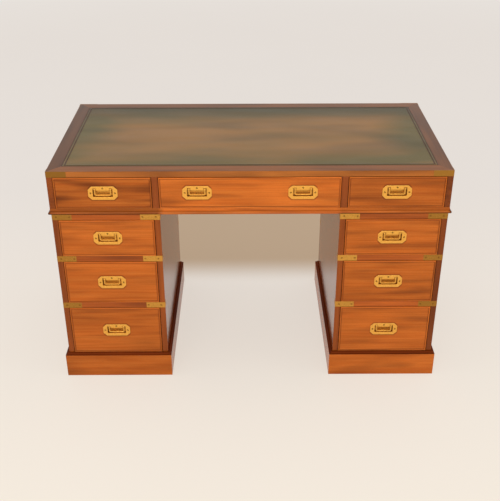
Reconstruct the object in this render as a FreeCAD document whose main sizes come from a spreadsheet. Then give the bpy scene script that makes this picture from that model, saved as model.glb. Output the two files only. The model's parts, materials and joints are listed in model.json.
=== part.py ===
import FreeCAD, Part
import os
import re
import Sketcher

# A pedestal writing desk in the campaign style. A top section with a leather writing surface
# and three frieze drawers stands on two pedestals of three drawers each. Lengths are in
# millimetres. X runs along the front, Y from the sitter to the back and Z up, and the origin
# is on the floor under the middle of the desk.

SIZES = (
    ("top_width", 1220, "Top along X"),
    ("top_depth", 610, "Top along Y"),
    ("top_thickness", 19, "Height of the top's edge"),
    ("border_width", 40, "Wood border round the writing leather"),
    ("leather_thickness", 1.5, "Writing leather, flush with its border"),

    ("frieze_end_thickness", 18, "End panels of the top section"),
    ("frieze_back_thickness", 12, "Back panel of the top section"),
    ("divider_thickness", 20, "Upright between two frieze drawers"),
    ("frieze_opening", 103, "Height of the frieze drawers' openings"),
    ("base_rail_height", 20, "Frame under the frieze drawers"),
    ("base_rail_width", 60, "Members of that frame, seen from above"),
    ("bead_height", 11, "Half-round bead along the foot of the frieze"),

    ("pedestal_width", 332, "Pedestal along X"),
    ("pedestal_inset", 2, "Pedestal behind the edge of the top on each side"),
    ("side_thickness", 18, "Pedestal side panels"),
    ("back_thickness", 8, "Pedestal back panels"),
    ("rail_height", 20, "Rails between the pedestal drawers"),
    ("rail_depth", 60, "Those rails along Y"),
    ("runner_width", 20, "Drawer runners along the side panels"),
    ("upper_opening", 127, "Height of the upper drawers' openings"),
    ("middle_opening", 153, "Height of the middle drawers' openings"),
    ("lower_opening", 176, "Height of the lower drawers' openings"),
    ("peg_radius", 5, "Pegs that locate the top section"),
    ("peg_depth", 16, "Pegs inside the side panels"),
    ("peg_rise", 13, "Pegs above the side panels"),
    ("peg_setback", 88, "Pegs behind the edge of the top"),
    ("peg_clearance", 0.4, "Room round a peg in its socket"),

    ("plinth_height", 82, "Plinth boards"),
    ("plinth_thickness", 22, "Plinth boards, seen from above"),
    ("plinth_projection", 11, "Plinth in front of the pedestal"),
    ("moulding_height", 8, "Hollow moulding on the plinth"),
    ("moulding_lip", 1.5, "Square edge below the hollow"),
    ("block_width", 26, "Glue blocks in the plinth's corners"),
    ("block_height", 60, "Those blocks along Z"),

    ("front_thickness", 20, "Drawer fronts"),
    ("drawer_side_thickness", 10, "Drawer sides and backs"),
    ("drawer_bottom_thickness", 5, "Drawer bottoms"),
    ("drawer_bottom_rise", 8, "Drawer bottom above the drawer's lower edge"),
    ("groove_depth", 5, "Groove that holds the drawer bottom"),
    ("drawer_side_drop", 6, "Drawer sides below the top of the front"),
    ("drawer_back_drop", 5, "Drawer back below the top of the sides"),
    ("drawer_side_gap", 1, "Room beside a drawer"),
    ("drawer_top_gap", 1.5, "Room over a drawer"),
    ("drawer_rest_gap", 0.3, "Room under a drawer"),
    ("drawer_back_gap", 25, "Room behind a drawer"),
    ("tail_length", 13, "Dovetails of the drawer sides"),
    ("tail_end_share", 0.72, "Dovetail's wide end, of the spacing"),
    ("tail_root_share", 0.5, "Dovetail's root, of the spacing"),
    ("cock_bead_width", 4, "Cock bead round a drawer front"),
    ("cock_bead_seat", 6, "Cock bead behind the drawer's face"),
    ("cock_bead_proud", 1.6, "Cock bead in front of the drawer's face"),
    ("stop_inset", 50, "Drawer stops from the sides of the opening"),
    ("stop_width", 30, "Drawer stops along X"),
    ("stop_depth", 14, "Drawer stops along Y"),
    ("stop_height", 5, "Drawer stops along Z"),
    ("stop_gap", 0.3, "Room between a stop and its drawer front"),

    ("centre_pull_inset", 116, "Middle drawer's pulls from the sides of its opening"),
    ("plate_width", 89, "Pull plate along X"),
    ("plate_height", 44.5, "Pull plate along Z"),
    ("plate_corner", 11, "Clipped corners of the plate"),
    ("plate_thickness", 2.4, "Pull plate along Y"),
    ("plate_proud", 0.8, "Pull plate in front of the drawer's face"),
    ("cup_width", 60, "Finger cup along X"),
    ("cup_height", 21, "Finger cup along Z"),
    ("cup_rise", 8.5, "Top of the finger cup above the plate's middle"),
    ("cup_depth", 11, "Finger cup behind the plate's face"),
    ("cup_wall", 1.6, "Wall of the finger cup"),
    ("ear_width", 10, "Slot for a bail's arm at a top corner of the cup"),
    ("ear_height", 7, "That slot above the cup"),
    ("bail_width", 52, "Bail along X"),
    ("bail_arm", 4.5, "Width of the bail's arms"),
    ("bail_bar", 4, "Height of the bail's bar"),
    ("bail_thickness", 4.5, "Bail along Y"),
    ("bail_setback", 0.3, "Bail behind the plate's face"),
    ("bail_floor_gap", 3.25, "Room under the bail's bar"),
    ("bail_corner", 3, "Rounding of the bail's lower corners"),
    ("pivot_rise", 11.75, "Bail's pivot above the plate's middle"),
    ("pivot_eye", 2.4, "Bail's arms above the pivot"),
    ("pin_radius", 1.25, "Bail's pins"),
    ("pin_clearance", 0.07, "Room round a pin"),
    ("pin_end_gap", 0.3, "Room past the end of a pin"),

    ("strap_length", 61, "Brass straps along the front"),
    ("strap_return", 22, "Brass straps round the corner"),
    ("strap_thickness", 1.2, "Brass straps, let in flush"),
    ("strap_screw_inset", 13, "First screw of a strap from the corner"),
    ("strap_screw_end", 7, "Last screw of a strap from its end"),
    ("screw_head_radius", 3, "Countersunk heads"),
    ("screw_head_height", 1.6, "Countersunk heads along the screw"),
    ("screw_shank_radius", 1.4, "Shanks"),
    ("screw_length", 10, "Whole screw"),
    ("screw_slot_width", 0.8, "Slot across the head"),
    ("screw_slot_depth", 0.7, "Slot into the head"),
    ("plate_screw_reach", 37, "Side screws of a plate from its middle"),
    ("plate_screw_rise", 16, "Top screw of a plate above its middle"),

    ("cut_overrun", 1, "How far a cutting shape runs past the face it cuts"),
)

doc = FreeCAD.newDocument("campaign_desk")
sheet = doc.addObject("Spreadsheet::Sheet", "Sizes")
for row, (alias, value, note) in enumerate(SIZES, start=1):
    sheet.set(f"A{row}", note)
    sheet.set(f"B{row}", str(value))
    sheet.setAlias(f"B{row}", alias)
doc.recompute()

nodes = []

# Places that several pieces share, as formulas in the sheet's names

HALF_WIDTH = "(top_width / 2)"
HALF_DEPTH = "(top_depth / 2)"
PEDESTAL_OUTER = f"({HALF_WIDTH} - pedestal_inset)"
PEDESTAL_INNER = f"({PEDESTAL_OUTER} - pedestal_width)"
PEDESTAL_CENTRE = f"({PEDESTAL_OUTER} - pedestal_width / 2)"
PEDESTAL_BACK = f"({HALF_DEPTH} - pedestal_inset)"

LOWER_FLOOR = "(plinth_height + moulding_height)"
LOWER_CEILING = f"({LOWER_FLOOR} + lower_opening)"
MIDDLE_FLOOR = f"({LOWER_CEILING} + rail_height)"
MIDDLE_CEILING = f"({MIDDLE_FLOOR} + middle_opening)"
UPPER_FLOOR = f"({MIDDLE_CEILING} + rail_height)"
UPPER_CEILING = f"({UPPER_FLOOR} + upper_opening)"
PEDESTAL_TOP = f"({UPPER_CEILING} + rail_height)"
FRIEZE_FLOOR = f"({PEDESTAL_TOP} + base_rail_height)"
FRIEZE_CEILING = f"({FRIEZE_FLOOR} + frieze_opening)"
TOP = f"({FRIEZE_CEILING} + top_thickness)"
RAIL_LEVELS = {
    "lower": (LOWER_CEILING, MIDDLE_FLOOR),
    "middle": (MIDDLE_CEILING, UPPER_FLOOR),
    "upper": (UPPER_CEILING, PEDESTAL_TOP),
}

# Rotations that carry a shape's own Z axis into the wood it enters

RIGHT_ANGLE = 90
ALONG_X = FreeCAD.Vector(1, 0, 0)
ALONG_Y = FreeCAD.Vector(0, 1, 0)
ALONG_Z = FreeCAD.Vector(0, 0, 1)
UNTURNED = FreeCAD.Rotation()
TOWARDS = {
    "back": FreeCAD.Rotation(ALONG_X, -RIGHT_ANGLE),
    "front": FreeCAD.Rotation(ALONG_X, RIGHT_ANGLE),
    "right": FreeCAD.Rotation(ALONG_Y, RIGHT_ANGLE),
    "left": FreeCAD.Rotation(ALONG_Y, -RIGHT_ANGLE),
}


def formula(text):
    """The formula as the document reads it, with the sheet's name before each size."""
    return re.sub(r"[a-z_]+", r"Sizes.\g<0>", str(text))


def bind(item, **formulas):
    """Ties an object's properties to formulas."""
    for prop, text in formulas.items():
        item.setExpression(prop, formula(text))
    return item


def place(item, spot, turn=UNTURNED):
    """Turns an object and ties its place to three formulas."""
    item.Placement = FreeCAD.Placement(FreeCAD.Vector(), turn)
    for axis, text in zip("xyz", spot):
        item.setExpression(f"Placement.Base.{axis}", formula(text))
    return item


def board(name, x, y, z):
    """A square-edged board between a low and a high formula along each axis."""
    item = doc.addObject("Part::Box", name)
    bind(item, **{prop: f"({high}) - ({low})"
                  for prop, (low, high) in zip(("Length", "Width", "Height"), (x, y, z))})
    return place(item, [low for low, _ in (x, y, z)])


def rod(name, spot, turn, radius, length):
    """A round rod from a spot along the turned Z axis."""
    item = bind(doc.addObject("Part::Cylinder", name), Radius=radius, Height=length)
    return place(item, spot, turn)


def fuse(name, items):
    item = doc.addObject("Part::MultiFuse", name)
    item.Shapes = items
    item.Refine = True
    return item


def group(name, items):
    """Separate solids held together under one name."""
    item = doc.addObject("Part::Compound", name)
    item.Links = items
    return item


def cut(name, base, tools):
    """The base without the tools, which stand clear of each other."""
    item = doc.addObject("Part::Cut", name)
    item.Base = base
    item.Tool = tools[0] if len(tools) == 1 else group(f"{name}_tools", tools)
    item.Refine = True
    return item


def common(name, first, second):
    item = doc.addObject("Part::Common", name)
    item.Base = first
    item.Tool = second
    item.Refine = True
    return item


def node(name, items):
    """Keeps a sub-part of one or more solids for its own file."""
    item = group(name, items)
    item.Label = name
    nodes.append(item)
    return item


def inward(edge, sign, length):
    """The span of that length that ends at an edge and lies on its inner side."""
    if sign > 0:
        return f"{edge} - ({length})", edge
    return edge, f"{edge} + ({length})"


def around(centre, half):
    """The span of that half length about a centre."""
    return f"{centre} - ({half})", f"{centre} + ({half})"


def mitred_ring(name, centre, half_x, half_y, width, low, high, turn=UNTURNED):
    """Four strips round a rectangle, mitred where they meet: back, left, front and right."""
    strips = []
    for quarter in range(4):
        along, across = (half_y, half_x) if quarter % 2 else (half_x, half_y)
        inner_along, inner_across = f"({along} - {width})", f"({across} - {width})"
        strip = doc.addObject("Part::Wedge", f"{name}_strip")
        bind(strip, Xmin=f"-{inner_along}", Xmax=inner_along, X2min=f"-({along})", X2max=along)
        bind(strip, Ymin=inner_across, Ymax=across, Zmin=low, Z2min=low, Zmax=high, Z2max=high)
        spin = FreeCAD.Rotation(ALONG_Z, RIGHT_ANGLE * quarter)
        strips.append(place(strip, centre, turn.multiply(spin)))
    return strips


def ring_rods(name, centre, half_x, half_y, height, radius):
    """Four rods that run along the sides of a rectangle, in the order of a mitred ring."""
    rods = []
    for quarter, (cosine, sine) in enumerate(((1, 0), (0, 1), (-1, 0), (0, -1))):
        along, across = (half_y, half_x) if quarter % 2 else (half_x, half_y)
        spot = (
            f"{centre[0]} - ({cosine}) * ({along}) - ({sine}) * ({across})",
            f"{centre[1]} - ({sine}) * ({along}) + ({cosine}) * ({across})",
            height,
        )
        spin = FreeCAD.Rotation(ALONG_Z, RIGHT_ANGLE * quarter)
        rods.append(rod(f"{name}_rod", spot, spin.multiply(TOWARDS["right"]), radius, f"2 * ({along})"))
    return rods


def screw_blank(name, spot, direction):
    """A countersunk wood screw before its slot is sawn. It also cuts its own hole."""
    head = bind(doc.addObject("Part::Cone", f"{name}_head"), Radius1="screw_head_radius",
                Radius2="screw_shank_radius", Height="screw_head_height")
    place(head, spot, TOWARDS[direction])
    shank = rod(f"{name}_shank", spot, TOWARDS[direction], "screw_shank_radius", "screw_length")
    return fuse(f"{name}_blank", [head, shank])


def screw(name, blank, spot, direction):
    """The screw with a slot across its head."""
    slot = doc.addObject("Part::Wedge", f"{name}_slot")
    reach, half_width = "(screw_head_radius + cut_overrun)", "(screw_slot_width / 2)"
    bind(slot, Xmin=f"-{reach}", X2min=f"-{reach}", Xmax=reach, X2max=reach)
    bind(slot, Ymin=f"-{half_width}", Ymax=half_width)
    bind(slot, Zmin="-cut_overrun", Z2min="-cut_overrun", Zmax="screw_slot_depth", Z2max="screw_slot_depth")
    place(slot, spot, TOWARDS[direction])
    return cut(f"{name}_screw", blank, [slot])


def corner_strap(name, corner, signs, low, high):
    """A brass strap bent round an upright corner, its long leg along the front or the back."""
    (corner_x, corner_y), (sign_x, sign_y) = corner, signs
    outer = board(f"{name}_outer", inward(corner_x, sign_x, "strap_length"),
                  inward(corner_y, sign_y, "strap_return"), (low, high))
    bend_x = f"({corner_x} - ({sign_x}) * strap_thickness)"
    bend_y = f"({corner_y} - ({sign_y}) * strap_thickness)"
    inner = board(f"{name}_inner", inward(bend_x, sign_x, "strap_length"),
                  inward(bend_y, sign_y, "strap_return"),
                  (f"{low} - cut_overrun", f"{high} + cut_overrun"))
    return cut(name, outer, [inner])


def sketch_outline(body, name, points):
    """A closed outline on the body's XZ plane through points given as pairs of formulas."""
    sketch = body.newObject("Sketcher::SketchObject", name)
    plane = next(item for item in body.Origin.OriginFeatures if item.Role == "XZ_Plane")
    sketch.AttachmentSupport = [(plane, "")]
    sketch.MapMode = "FlatFace"
    texts = [(formula(across), formula(up)) for across, up in points]
    spots = [[float(sheet.evalExpression(text)) for text in pair] for pair in texts]
    for start, end in zip(spots, spots[1:] + spots[:1]):
        sketch.addGeometry(Part.LineSegment(FreeCAD.Vector(*start), FreeCAD.Vector(*end)), False)
    for index in range(len(spots)):
        following = (index + 1) % len(spots)
        sketch.addConstraint(Sketcher.Constraint("Coincident", index, 2, following, 1))
    for index, (pair, spot) in enumerate(zip(texts, spots)):
        for kind, text, value in zip(("DistanceX", "DistanceY"), pair, spot):
            number = sketch.addConstraint(Sketcher.Constraint(kind, -1, 1, index, 1, value))
            sketch.setExpression(f"Constraints[{number}]", text)
    return sketch


# The top: a mitred border round a panel that carries the leather

def build_top():
    straps = []
    for sign_x in (-1, 1):
        for sign_y in (-1, 1):
            corner = f"({sign_x}) * {HALF_WIDTH}", f"({sign_y}) * {HALF_DEPTH}"
            straps.append(corner_strap("top_strap", corner, (sign_x, sign_y), FRIEZE_CEILING, TOP))
    border = mitred_ring("border", ("0", "0", "0"), HALF_WIDTH, HALF_DEPTH, "border_width",
                         FRIEZE_CEILING, TOP)
    node("top_border", [cut("border_member", strip, straps) for strip in border])
    node("top_corner_straps", straps)
    field = (around("0", f"{HALF_WIDTH} - border_width"), around("0", f"{HALF_DEPTH} - border_width"))
    leather_seat = f"({TOP} - leather_thickness)"
    node("top_panel", [board("panel_board", *field, (FRIEZE_CEILING, leather_seat))])
    node("writing_leather", [board("leather_sheet", *field, (leather_seat, TOP))])


# The frieze: ends, dividers and a back that stand on a frame with a bead along its edge

FRIEZE_BACK_FACE = f"({HALF_DEPTH} - frieze_back_thickness)"
DIVIDER_OUTER = f"({PEDESTAL_INNER} + divider_thickness)"
END_INNER = f"({HALF_WIDTH} - frieze_end_thickness)"


def peg_spots():
    """Where the pegs stand, two along the top edge of each pedestal side."""
    return [(f"({sign_x}) * ({x})", f"({sign_y}) * ({HALF_DEPTH} - peg_setback)")
            for sign_x in (-1, 1)
            for x in (f"{PEDESTAL_OUTER} - side_thickness / 2", f"{PEDESTAL_INNER} + side_thickness / 2")
            for sign_y in (-1, 1)]


def base_frame():
    """The frame of six members under the frieze drawers, with sockets for the pegs."""
    rails = (PEDESTAL_TOP, FRIEZE_FLOOR)
    inner_depth = f"({HALF_DEPTH} - base_rail_width)"
    half_divider_rail = "base_rail_width / 2"
    divider_centre = f"({PEDESTAL_INNER} + divider_thickness / 2)"
    members = [board("base_long_rail", around("0", HALF_WIDTH),
                     inward(f"({sign} * {HALF_DEPTH})", sign, "base_rail_width"), rails)
               for sign in (-1, 1)]
    for sign in (-1, 1):
        members.append(board("base_end_rail", inward(f"({sign} * {HALF_WIDTH})", sign, "base_rail_width"),
                             around("0", inner_depth), rails))
        members.append(board("base_cross_rail", around(f"({sign} * {divider_centre})", half_divider_rail),
                             around("0", inner_depth), rails))
    sockets = [rod("peg_socket", (x, y, f"{PEDESTAL_TOP} - cut_overrun"), UNTURNED,
                   "peg_radius + peg_clearance", "cut_overrun + peg_rise + peg_clearance")
               for x, y in peg_spots()]
    return [cut("base_member", member, sockets) for member in members]


def drawer_stops(x_low, x_high, floor, face):
    """Two small blocks behind the drawer front that stop it flush."""
    y_low = f"({face} + front_thickness + stop_gap)"
    y = (y_low, f"{y_low} + stop_depth")
    z = (floor, f"{floor} + stop_height")
    left = f"({x_low} + stop_inset)"
    right = f"({x_high} - stop_inset)"
    return [board("stop", (left, f"{left} + stop_width"), y, z),
            board("stop", (f"{right} - stop_width", right), y, z)]


def build_frieze(openings):
    upright = (FRIEZE_FLOOR, FRIEZE_CEILING)
    node("frieze_ends", [board("frieze_end", inward(f"({sign} * {HALF_WIDTH})", sign, "frieze_end_thickness"),
                               around("0", HALF_DEPTH), upright)
                         for sign in (-1, 1)])
    node("frieze_dividers", [board("divider",
                                   inward(f"({sign} * {DIVIDER_OUTER})", sign, "divider_thickness"),
                                   (f"-{HALF_DEPTH}", FRIEZE_BACK_FACE), upright)
                             for sign in (-1, 1)])
    node("frieze_back", [board("frieze_back_board", around("0", END_INNER),
                               (FRIEZE_BACK_FACE, HALF_DEPTH), upright)])
    stops = [stop for x_low, x_high in openings
             for stop in drawer_stops(x_low, x_high, FRIEZE_FLOOR, f"-{HALF_DEPTH}")]
    node("frieze_base_frame", base_frame() + stops)

    # The bead is the outer half of a rod along the foot of the frame, mitred at the corners.
    bead_radius = "(bead_height / 2)"
    bead_middle = f"({PEDESTAL_TOP} + {bead_radius})"
    strips = mitred_ring("bead", ("0", "0", "0"), f"({HALF_WIDTH} + {bead_radius})",
                         f"({HALF_DEPTH} + {bead_radius})", bead_radius,
                         PEDESTAL_TOP, f"{PEDESTAL_TOP} + bead_height")
    rods = ring_rods("bead", ("0", "0"), HALF_WIDTH, HALF_DEPTH, bead_middle, bead_radius)
    node("frieze_bead", [common("bead_length", strip, half) for strip, half in zip(strips, rods)])


# The pedestals: side panels, back, bottom and rails on a plinth, with brass straps at the rails

def pedestal_straps(name, centre):
    """Straps at each corner and rail, with their screws, keyed by corner and rail level."""
    straps = {}
    screw_places = ("strap_screw_inset", "(strap_length - strap_screw_end)")
    for sign_x in (-1, 1):
        corner_x = f"({centre} + ({sign_x}) * pedestal_width / 2)"
        for sign_y in (-1, 1):
            corner_y = f"({sign_y} * {PEDESTAL_BACK})"
            for level, (low, high) in RAIL_LEVELS.items():
                middle = f"(({low} + {high}) / 2)"
                plain = corner_strap(f"{name}_strap", (corner_x, corner_y), (sign_x, sign_y), low, high)
                spots = [((f"{corner_x} - ({sign_x}) * {inset}", corner_y, middle),
                          "front" if sign_y > 0 else "back") for inset in screw_places]
                spots.append(((corner_x, f"{corner_y} - ({sign_y}) * strap_screw_inset", middle),
                              "left" if sign_x > 0 else "right"))
                blanks = [screw_blank(f"{name}_strap", *spot) for spot in spots]
                straps[sign_x, sign_y, level] = {
                    "seat": fuse(f"{name}_strap_seat", [plain] + blanks),
                    "strap": cut(f"{name}_drilled_strap", plain, blanks),
                    "screws": [screw(f"{name}_strap", blank, *spot) for blank, spot in zip(blanks, spots)],
                }
    return straps


def build_pedestals(sides):
    kept = {key: [] for key in ("backs", "bottoms", "runners", "straps", "screws", "mouldings")}
    for name, sign in sides.items():
        centre = f"({sign} * {PEDESTAL_CENTRE})"
        half_width = "(pedestal_width / 2)"
        half_inside = f"({half_width} - side_thickness)"
        inside = around(centre, half_inside)
        front, back = f"(-{PEDESTAL_BACK})", PEDESTAL_BACK
        back_face = f"({back} - back_thickness)"
        upright = ("plinth_height", PEDESTAL_TOP)
        straps = pedestal_straps(name, centre)
        seats = {key: parts["seat"] for key, parts in straps.items()}
        kept["straps"] += [parts["strap"] for parts in straps.values()]
        kept["screws"] += [item for parts in straps.values() for item in parts["screws"]]

        panels = []
        for sign_x in (-1, 1):
            edge = f"({centre} + ({sign_x}) * {half_width})"
            panel = board(f"{name}_side", inward(edge, sign_x, "side_thickness"), (front, back), upright)
            x = f"{edge} - ({sign_x}) * side_thickness / 2"
            holes = [rod(f"{name}_peg_hole", (x, f"{sign_y} * ({HALF_DEPTH} - peg_setback)",
                                              f"{PEDESTAL_TOP} - peg_depth"),
                         UNTURNED, "peg_radius", "peg_depth + cut_overrun") for sign_y in (-1, 1)]
            own_seats = [seat for key, seat in seats.items() if key[0] == sign_x]
            panels.append(cut(f"{name}_side_panel", panel, own_seats + holes))
        node(f"{name}_pedestal_sides", panels)

        rails = []
        for level, span in RAIL_LEVELS.items():
            rail = board(f"{name}_rail", inside, (front, f"{front} + rail_depth"), span)
            rails.append(cut(f"{name}_{level}_rail", rail, [seats[sign_x, -1, level] for sign_x in (-1, 1)]))
            for sign_x in (-1, 1):
                edge = f"({centre} + ({sign_x}) * {half_inside})"
                kept["runners"].append(board(f"{name}_runner", inward(edge, sign_x, "runner_width"),
                                             (f"{front} + rail_depth", back_face), span))
        node(f"{name}_drawer_rails", rails)

        panel = board(f"{name}_back", inside, (back_face, back), upright)
        rear_seats = [seat for key, seat in seats.items() if key[1] == 1]
        kept["backs"].append(cut(f"{name}_back_panel", panel, rear_seats))
        kept["bottoms"].append(board(f"{name}_bottom", inside, (front, back_face),
                                     ("plinth_height", LOWER_FLOOR)))
        for floor in (LOWER_FLOOR, MIDDLE_FLOOR, UPPER_FLOOR):
            kept["runners"] += drawer_stops(*inside, floor, front)

        outer_x = f"({half_width} + plinth_projection)"
        outer_y = f"({PEDESTAL_BACK} + plinth_projection)"
        spot = (centre, "0", "0")
        boards = mitred_ring(f"{name}_plinth", spot, outer_x, outer_y, "plinth_thickness",
                             "0", "plinth_height")
        inner_x, inner_y = f"({outer_x} - plinth_thickness)", f"({outer_y} - plinth_thickness)"
        blocks = [board(f"{name}_block",
                        inward(f"({centre} + ({sign_x}) * {inner_x})", sign_x, "block_width"),
                        inward(f"(({sign_y}) * {inner_y})", sign_y, "block_width"),
                        ("plinth_height - block_height", "plinth_height"))
                  for sign_x in (-1, 1) for sign_y in (-1, 1)]
        node(f"{name}_plinth", boards + blocks)

        # A hollow is scooped out of each strip by a rod along its upper outer edge.
        strips = mitred_ring(f"{name}_moulding", spot, outer_x, outer_y, "plinth_projection",
                             "plinth_height", LOWER_FLOOR)
        hollows = ring_rods(f"{name}_moulding", spot, outer_x, outer_y, LOWER_FLOOR,
                            "moulding_height - moulding_lip")
        kept["mouldings"] += [cut(f"{name}_hollow", strip, [hollow])
                              for strip, hollow in zip(strips, hollows)]

    node("pedestal_backs", kept["backs"])
    node("pedestal_bottoms", kept["bottoms"])
    node("drawer_runners", kept["runners"])
    node("plinth_mouldings", kept["mouldings"])
    node("corner_straps", kept["straps"])
    node("strap_screws", kept["screws"])
    node("locating_pegs", [rod("peg", (x, y, f"{PEDESTAL_TOP} - peg_depth"), UNTURNED,
                               "peg_radius", "peg_depth + peg_rise") for x, y in peg_spots()])


# The pulls: a clipped brass plate with a finger cup, and a bail that hangs in it

def pull_seat(name, x, z, face):
    """The plate and cup before they are hollowed, which is also the mortise they sit in."""
    flat = (face, f"{face} + plate_thickness")
    oblong = board(f"{name}_oblong", around(x, "plate_width / 2"), flat, around(z, "plate_height / 2"))
    clip = doc.addObject("Part::Prism", f"{name}_clip")
    clip.Polygon = 4
    bind(clip, Circumradius="(plate_width + plate_height) / 2 - plate_corner", Height="plate_thickness")
    place(clip, (x, face, z), TOWARDS["back"])
    plate = common(f"{name}_clipped", oblong, clip)
    cup_top = f"({z} + cup_rise)"
    deep = (f"{face} + plate_thickness", f"{face} + cup_depth + cup_wall")
    solids = [plate, board(f"{name}_cup", around(x, "cup_width / 2 + cup_wall"), deep,
                           (f"{cup_top} - cup_height - cup_wall", f"{cup_top} + cup_wall"))]
    for sign in (-1, 1):
        edge = f"({x} + ({sign}) * (cup_width / 2 + cup_wall))"
        solids.append(board(f"{name}_ear", inward(edge, sign, "ear_width + 2 * cup_wall"), deep,
                            (cup_top, f"{cup_top} + ear_height + cup_wall")))
    return fuse(f"{name}_seat", solids)


def pull_hollow(name, x, z, face, pivot):
    """The finger cup, the slots for the bail's arms and the holes for its pins."""
    cup_top = f"({z} + cup_rise)"
    deep = (f"{face} - cut_overrun", f"{face} + cup_depth")
    solids = [board(f"{name}_cup_hollow", around(x, "cup_width / 2"), deep,
                    (f"{cup_top} - cup_height", cup_top))]
    for sign, direction in ((-1, "left"), (1, "right")):
        edge = f"({x} + ({sign}) * cup_width / 2)"
        solids.append(board(f"{name}_ear_hollow", inward(edge, sign, "ear_width"), deep,
                            (cup_top, f"{cup_top} + ear_height")))
        start = f"{edge} - ({sign}) * cut_overrun"
        solids.append(rod(f"{name}_pin_hole", (start, *pivot), TOWARDS[direction],
                          "pin_radius + pin_clearance", "cut_overrun + cup_wall"))
    return fuse(f"{name}_hollow", solids)


def bail_body(name, x, z, pivot):
    """The U of the bail, padded about its pivot and rounded at its lower corners."""
    body = doc.addObject("PartDesign::Body", f"{name}_body")
    outer, inner = "(bail_width / 2)", "(bail_width / 2 - bail_arm)"
    low = "(cup_rise - cup_height + bail_floor_gap)"
    bar_top = f"({low} + bail_bar)"
    top = "(pivot_rise + pivot_eye)"
    points = ((f"-{outer}", low), (outer, low), (outer, top), (inner, top), (inner, bar_top),
              (f"-{inner}", bar_top), (f"-{inner}", top), (f"-{outer}", top))
    sketch = sketch_outline(body, f"{name}_outline", points)
    pad = bind(body.newObject("PartDesign::Pad", f"{name}_pad"), Length="bail_thickness")
    pad.Profile = sketch
    pad.Midplane = True
    sketch.Visibility = False
    doc.recompute()
    along_y = [(edge.CenterOfMass.z, f"Edge{number}") for number, edge in enumerate(pad.Shape.Edges, start=1)
               if edge.BoundBox.YLength > edge.BoundBox.DiagonalLength / 2]
    corners = [name for _, name in sorted(along_y)[:2]]
    rounding = body.newObject("PartDesign::Fillet", f"{name}_rounding")
    rounding.Base = (pad, corners)
    bind(rounding, Radius="bail_corner")
    body.Tip = rounding
    return place(body, (x, pivot[0], z))


def build_bail(name, x, z, pivot):
    solids = [bail_body(name, x, z, pivot)]
    for sign, direction in ((-1, "left"), (1, "right")):
        start = f"{x} + ({sign}) * (bail_width / 2 - bail_arm / 2)"
        length = "cup_width / 2 + cup_wall - pin_end_gap - bail_width / 2 + bail_arm / 2"
        solids.append(rod(f"{name}_pin", (start, *pivot), TOWARDS[direction], "pin_radius", length))
    node(name, [fuse(f"{name}_with_pins", solids)])


def build_pull(name, bail_name, x, z, drawer_face):
    """One pull. Gives its plate with screws, and the seats that it needs in the drawer front."""
    face = f"({drawer_face} - plate_proud)"
    pivot = (f"({face} + bail_setback + bail_thickness / 2)", f"({z} + pivot_rise)")
    seat = pull_seat(name, x, z, face)
    spots = [((f"{x} + ({side}) * plate_screw_reach", face, z), "back") for side in (-1, 1)]
    spots.append(((x, face, f"{z} + plate_screw_rise"), "back"))
    blanks = [screw_blank(name, *spot) for spot in spots]
    plate = cut(f"{name}_plate", seat, [pull_hollow(name, x, z, face, pivot)] + blanks)
    screws = [screw(name, blank, *spot) for blank, spot in zip(blanks, spots)]
    build_bail(bail_name, x, z, pivot)
    return [plate] + screws, fuse(f"{name}_mortise", [seat] + blanks)


# The drawers: a cock-beaded front dovetailed to two sides, with a back and a grooved-in bottom

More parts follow.
